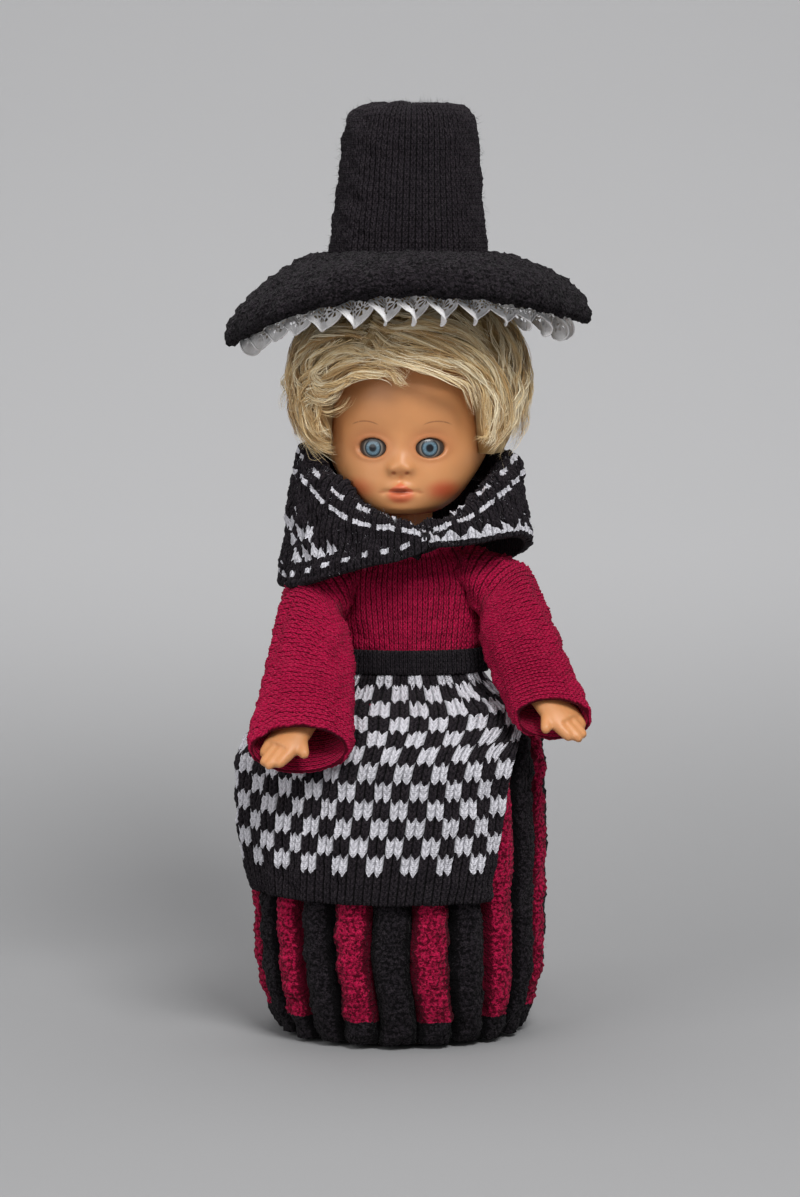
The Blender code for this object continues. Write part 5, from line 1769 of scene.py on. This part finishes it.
class DOLL_OT_apron(bpy.types.Operator):
    """Checked apron with its black waistband"""

    bl_idname = "doll.apron"
    bl_label = "Build apron"

    def execute(self, context):
        colors, knit = colors_of(context), knit_of(context)
        relief = knit.relief / MM
        checks = check_wool("check_yarn", colors)
        panel = knit_piece(
            "apron_knit",
            apron_surface,
            Knit(
                columns=APRON_COLUMNS, courses=41, wall=1.9, material=checks,
                relief=stocking_relief, depth=relief * 1.4, detail=(6, 4), lumps=0.4,
            ),
            "body",
            wrap=False,
            seed=31,
        )
        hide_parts("apron_panel")
        band = knit_piece(
            "waistband_knit",
            torso_surface(*WAISTBAND_HEIGHTS, 6.6),
            Knit(
                columns=84, courses=5, wall=1.7, material=plain_wool("band_yarn", colors.black[:]),
                relief=stocking_relief, depth=relief,
            ),
            "body",
            seed=35,
            inner_rows=3,
        )
        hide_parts("apron_waistband")
        return {"FINISHED"}


class DOLL_OT_shawl(bpy.types.Operator):
    """Black and white shawl in two halves that lap at the front"""

    bl_idname = "doll.shawl"
    bl_label = "Build shawl"

    def execute(self, context):
        colors, knit = colors_of(context), knit_of(context)
        material = shawl_wool("shawl_yarn", colors)
        halves = (
            ("shawl_right", "right_arm", -1.0, SHAWL_RIGHT_ROWS, -180.0, SHAWL_RIGHT_END, SHAWL_NO_BAND),
            ("shawl_left", "left_arm", 1.0, SHAWL_LEFT_ROWS, SHAWL_LEFT_START, 180.0, 0.0),
        )
        for name, arm_body, side, rows, first, last, hem_start in halves:
            surface = shawl_surface(rows, math.radians(first), math.radians(last))
            columns = round(SHAWL_COLUMNS * (last - first) / 360.0)
            stitches = Knit(
                columns=columns, courses=SHAWL_COURSES, wall=3.0, material=material,
                relief=stocking_relief, depth=1.3 * knit.relief / MM, detail=(4, 3), lumps=1.0,
                places=shawl_places(surface, columns),
            )
            half = knit_piece(name, surface, stitches, None, wrap=False, flip=True, seed=51)
            mark_hem(half, stitches, hem_start)
            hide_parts("shawl")
            start, end = mm_point(side * 24.0, 0.0, 200.0), mm_point(side * 50.0, -6.0, 184.0)
            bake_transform(half)
            fuzz = knit.fuzz_length / MM
            fuzz_piece(f"{name}_fuzz", surface, material, "body", 1500, fuzz, seed=55)
        paint_packed("shawl_fastener", dark_metal("fastener_metal_worn"))
        return {"FINISHED"}


def mm_point(x, y, z):
    return (x * MM, y * MM, z * MM)


def mark_hem(piece, knit, start):
    """Store each point's distance from the hem in rows; a high start leaves the band out."""
    cols = knit.columns * knit.detail[0] + 1
    count = len(piece.data.vertices)
    rows = count // cols
    share = np.ones(rows)
    outer_rows = knit.courses * knit.detail[1] + 1
    share[:outer_rows] = np.arange(outer_rows) / (outer_rows - 1)
    spots = np.zeros(count * 3)
    piece.data.vertices.foreach_get("co", spots)
    spots = spots.reshape(rows, cols, 3)[:outer_rows] / MM
    steps = np.linalg.norm(np.diff(spots, axis=0), axis=-1)
    along = np.concatenate([np.zeros((1, cols)), np.cumsum(steps, axis=0)])
    from_hem = np.zeros((rows, cols))
    from_hem[:outer_rows] = (along[-1] - along) / SHAWL_ROW
    attribute = piece.data.attributes.new("hem", "FLOAT", "POINT")
    attribute.data.foreach_set("value", (from_hem + start).ravel().astype(np.float32))


class DOLL_OT_hat(bpy.types.Operator):
    """Tall knitted hat with its padded brim and lace frill"""

    bl_idname = "doll.hat"
    bl_label = "Build hat"

    def execute(self, context):
        colors, knit = colors_of(context), knit_of(context)
        relief, fuzz = knit.relief / MM, knit.fuzz_length / MM
        plain = plain_wool("crown_yarn", colors.black[:])
        crown_knit = Knit(
            columns=72, courses=36, wall=2.2, material=plain,
            relief=stocking_relief, depth=relief * 1.2, detail=(4, 3), lumps=0.35,
        )
        crown = knit_piece("crown_knit", crown_surface, crown_knit, "head", seed=61)
        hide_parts("hat_crown")
        purl = purl_wool("brim_yarn", colors.black[:])
        brim_knit = Knit(
            columns=150, courses=34, wall=0.0, material=purl,
            relief=purl_relief, depth=1.1, detail=(3, 2), lumps=0.6,
        )
        brim = padded_ring("brim_knit", brim_surface, brim_knit, "head", seed=71)
        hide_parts("hat_brim")
        fuzz_piece("crown_fuzz", crown_surface, plain, "head", 3200, fuzz, seed=81)
        fuzz_piece("brim_fuzz", brim_surface, purl, "head", 3600, fuzz * 0.9, seed=82)
        paint_packed("hat_stuffing", wadding_finish("crown_wadding"))
        lace, cord = make_lace(lace_cotton("lace_thread"))
        return {"FINISHED"}


def padded_ring(name, surface, knit, body, seed):
    """A knitted tube that closes on itself both ways."""
    cols, rows = knit.columns * knit.detail[0], knit.courses * knit.detail[1]
    share_u, share_v = np.arange(cols) / cols, np.arange(rows) / rows
    s, t = np.meshgrid(share_u, share_v)
    points, _ = knit_points(surface, knit, s, t, seed)
    mesh = grid_mesh(name, points, *knit.places(s, t), True, True)
    return add_object(name, mesh, knit.material, body)


class DOLL_PT_panel(bpy.types.Panel):
    """Steps that build the doll"""

    bl_idname = "DOLL_PT_panel"
    bl_label = "Knitted costume doll"
    bl_space_type = "VIEW_3D"
    bl_region_type = "UI"
    bl_category = "Doll"

    def draw(self, context):
        for operator in OPERATORS:
            self.layout.operator(operator.bl_idname)


OPERATORS = (
    DOLL_OT_stage,
    DOLL_OT_body,
    DOLL_OT_head,
    DOLL_OT_hair,
    DOLL_OT_dress,
    DOLL_OT_apron,
    DOLL_OT_shawl,
    DOLL_OT_hat,
)
SETTINGS = (("doll_colors", DollColors), ("doll_knit", DollKnit), ("doll_stage", DollStage))


def register():
    for name, group in SETTINGS:
        bpy.utils.register_class(group)
        setattr(bpy.types.Scene, name, bpy.props.PointerProperty(type=group))
    for item in (*OPERATORS, DOLL_PT_panel):
        bpy.utils.register_class(item)


def unregister():
    for item in reversed((*OPERATORS, DOLL_PT_panel)):
        bpy.utils.unregister_class(item)
    for name, group in reversed(SETTINGS):
        delattr(bpy.types.Scene, name)
        bpy.utils.unregister_class(group)


def main():
    register()
    for operator in OPERATORS:
        step = operator.bl_idname.split(".")[1]
        getattr(bpy.ops.doll, step)()


if __name__ == "__main__":
    main()
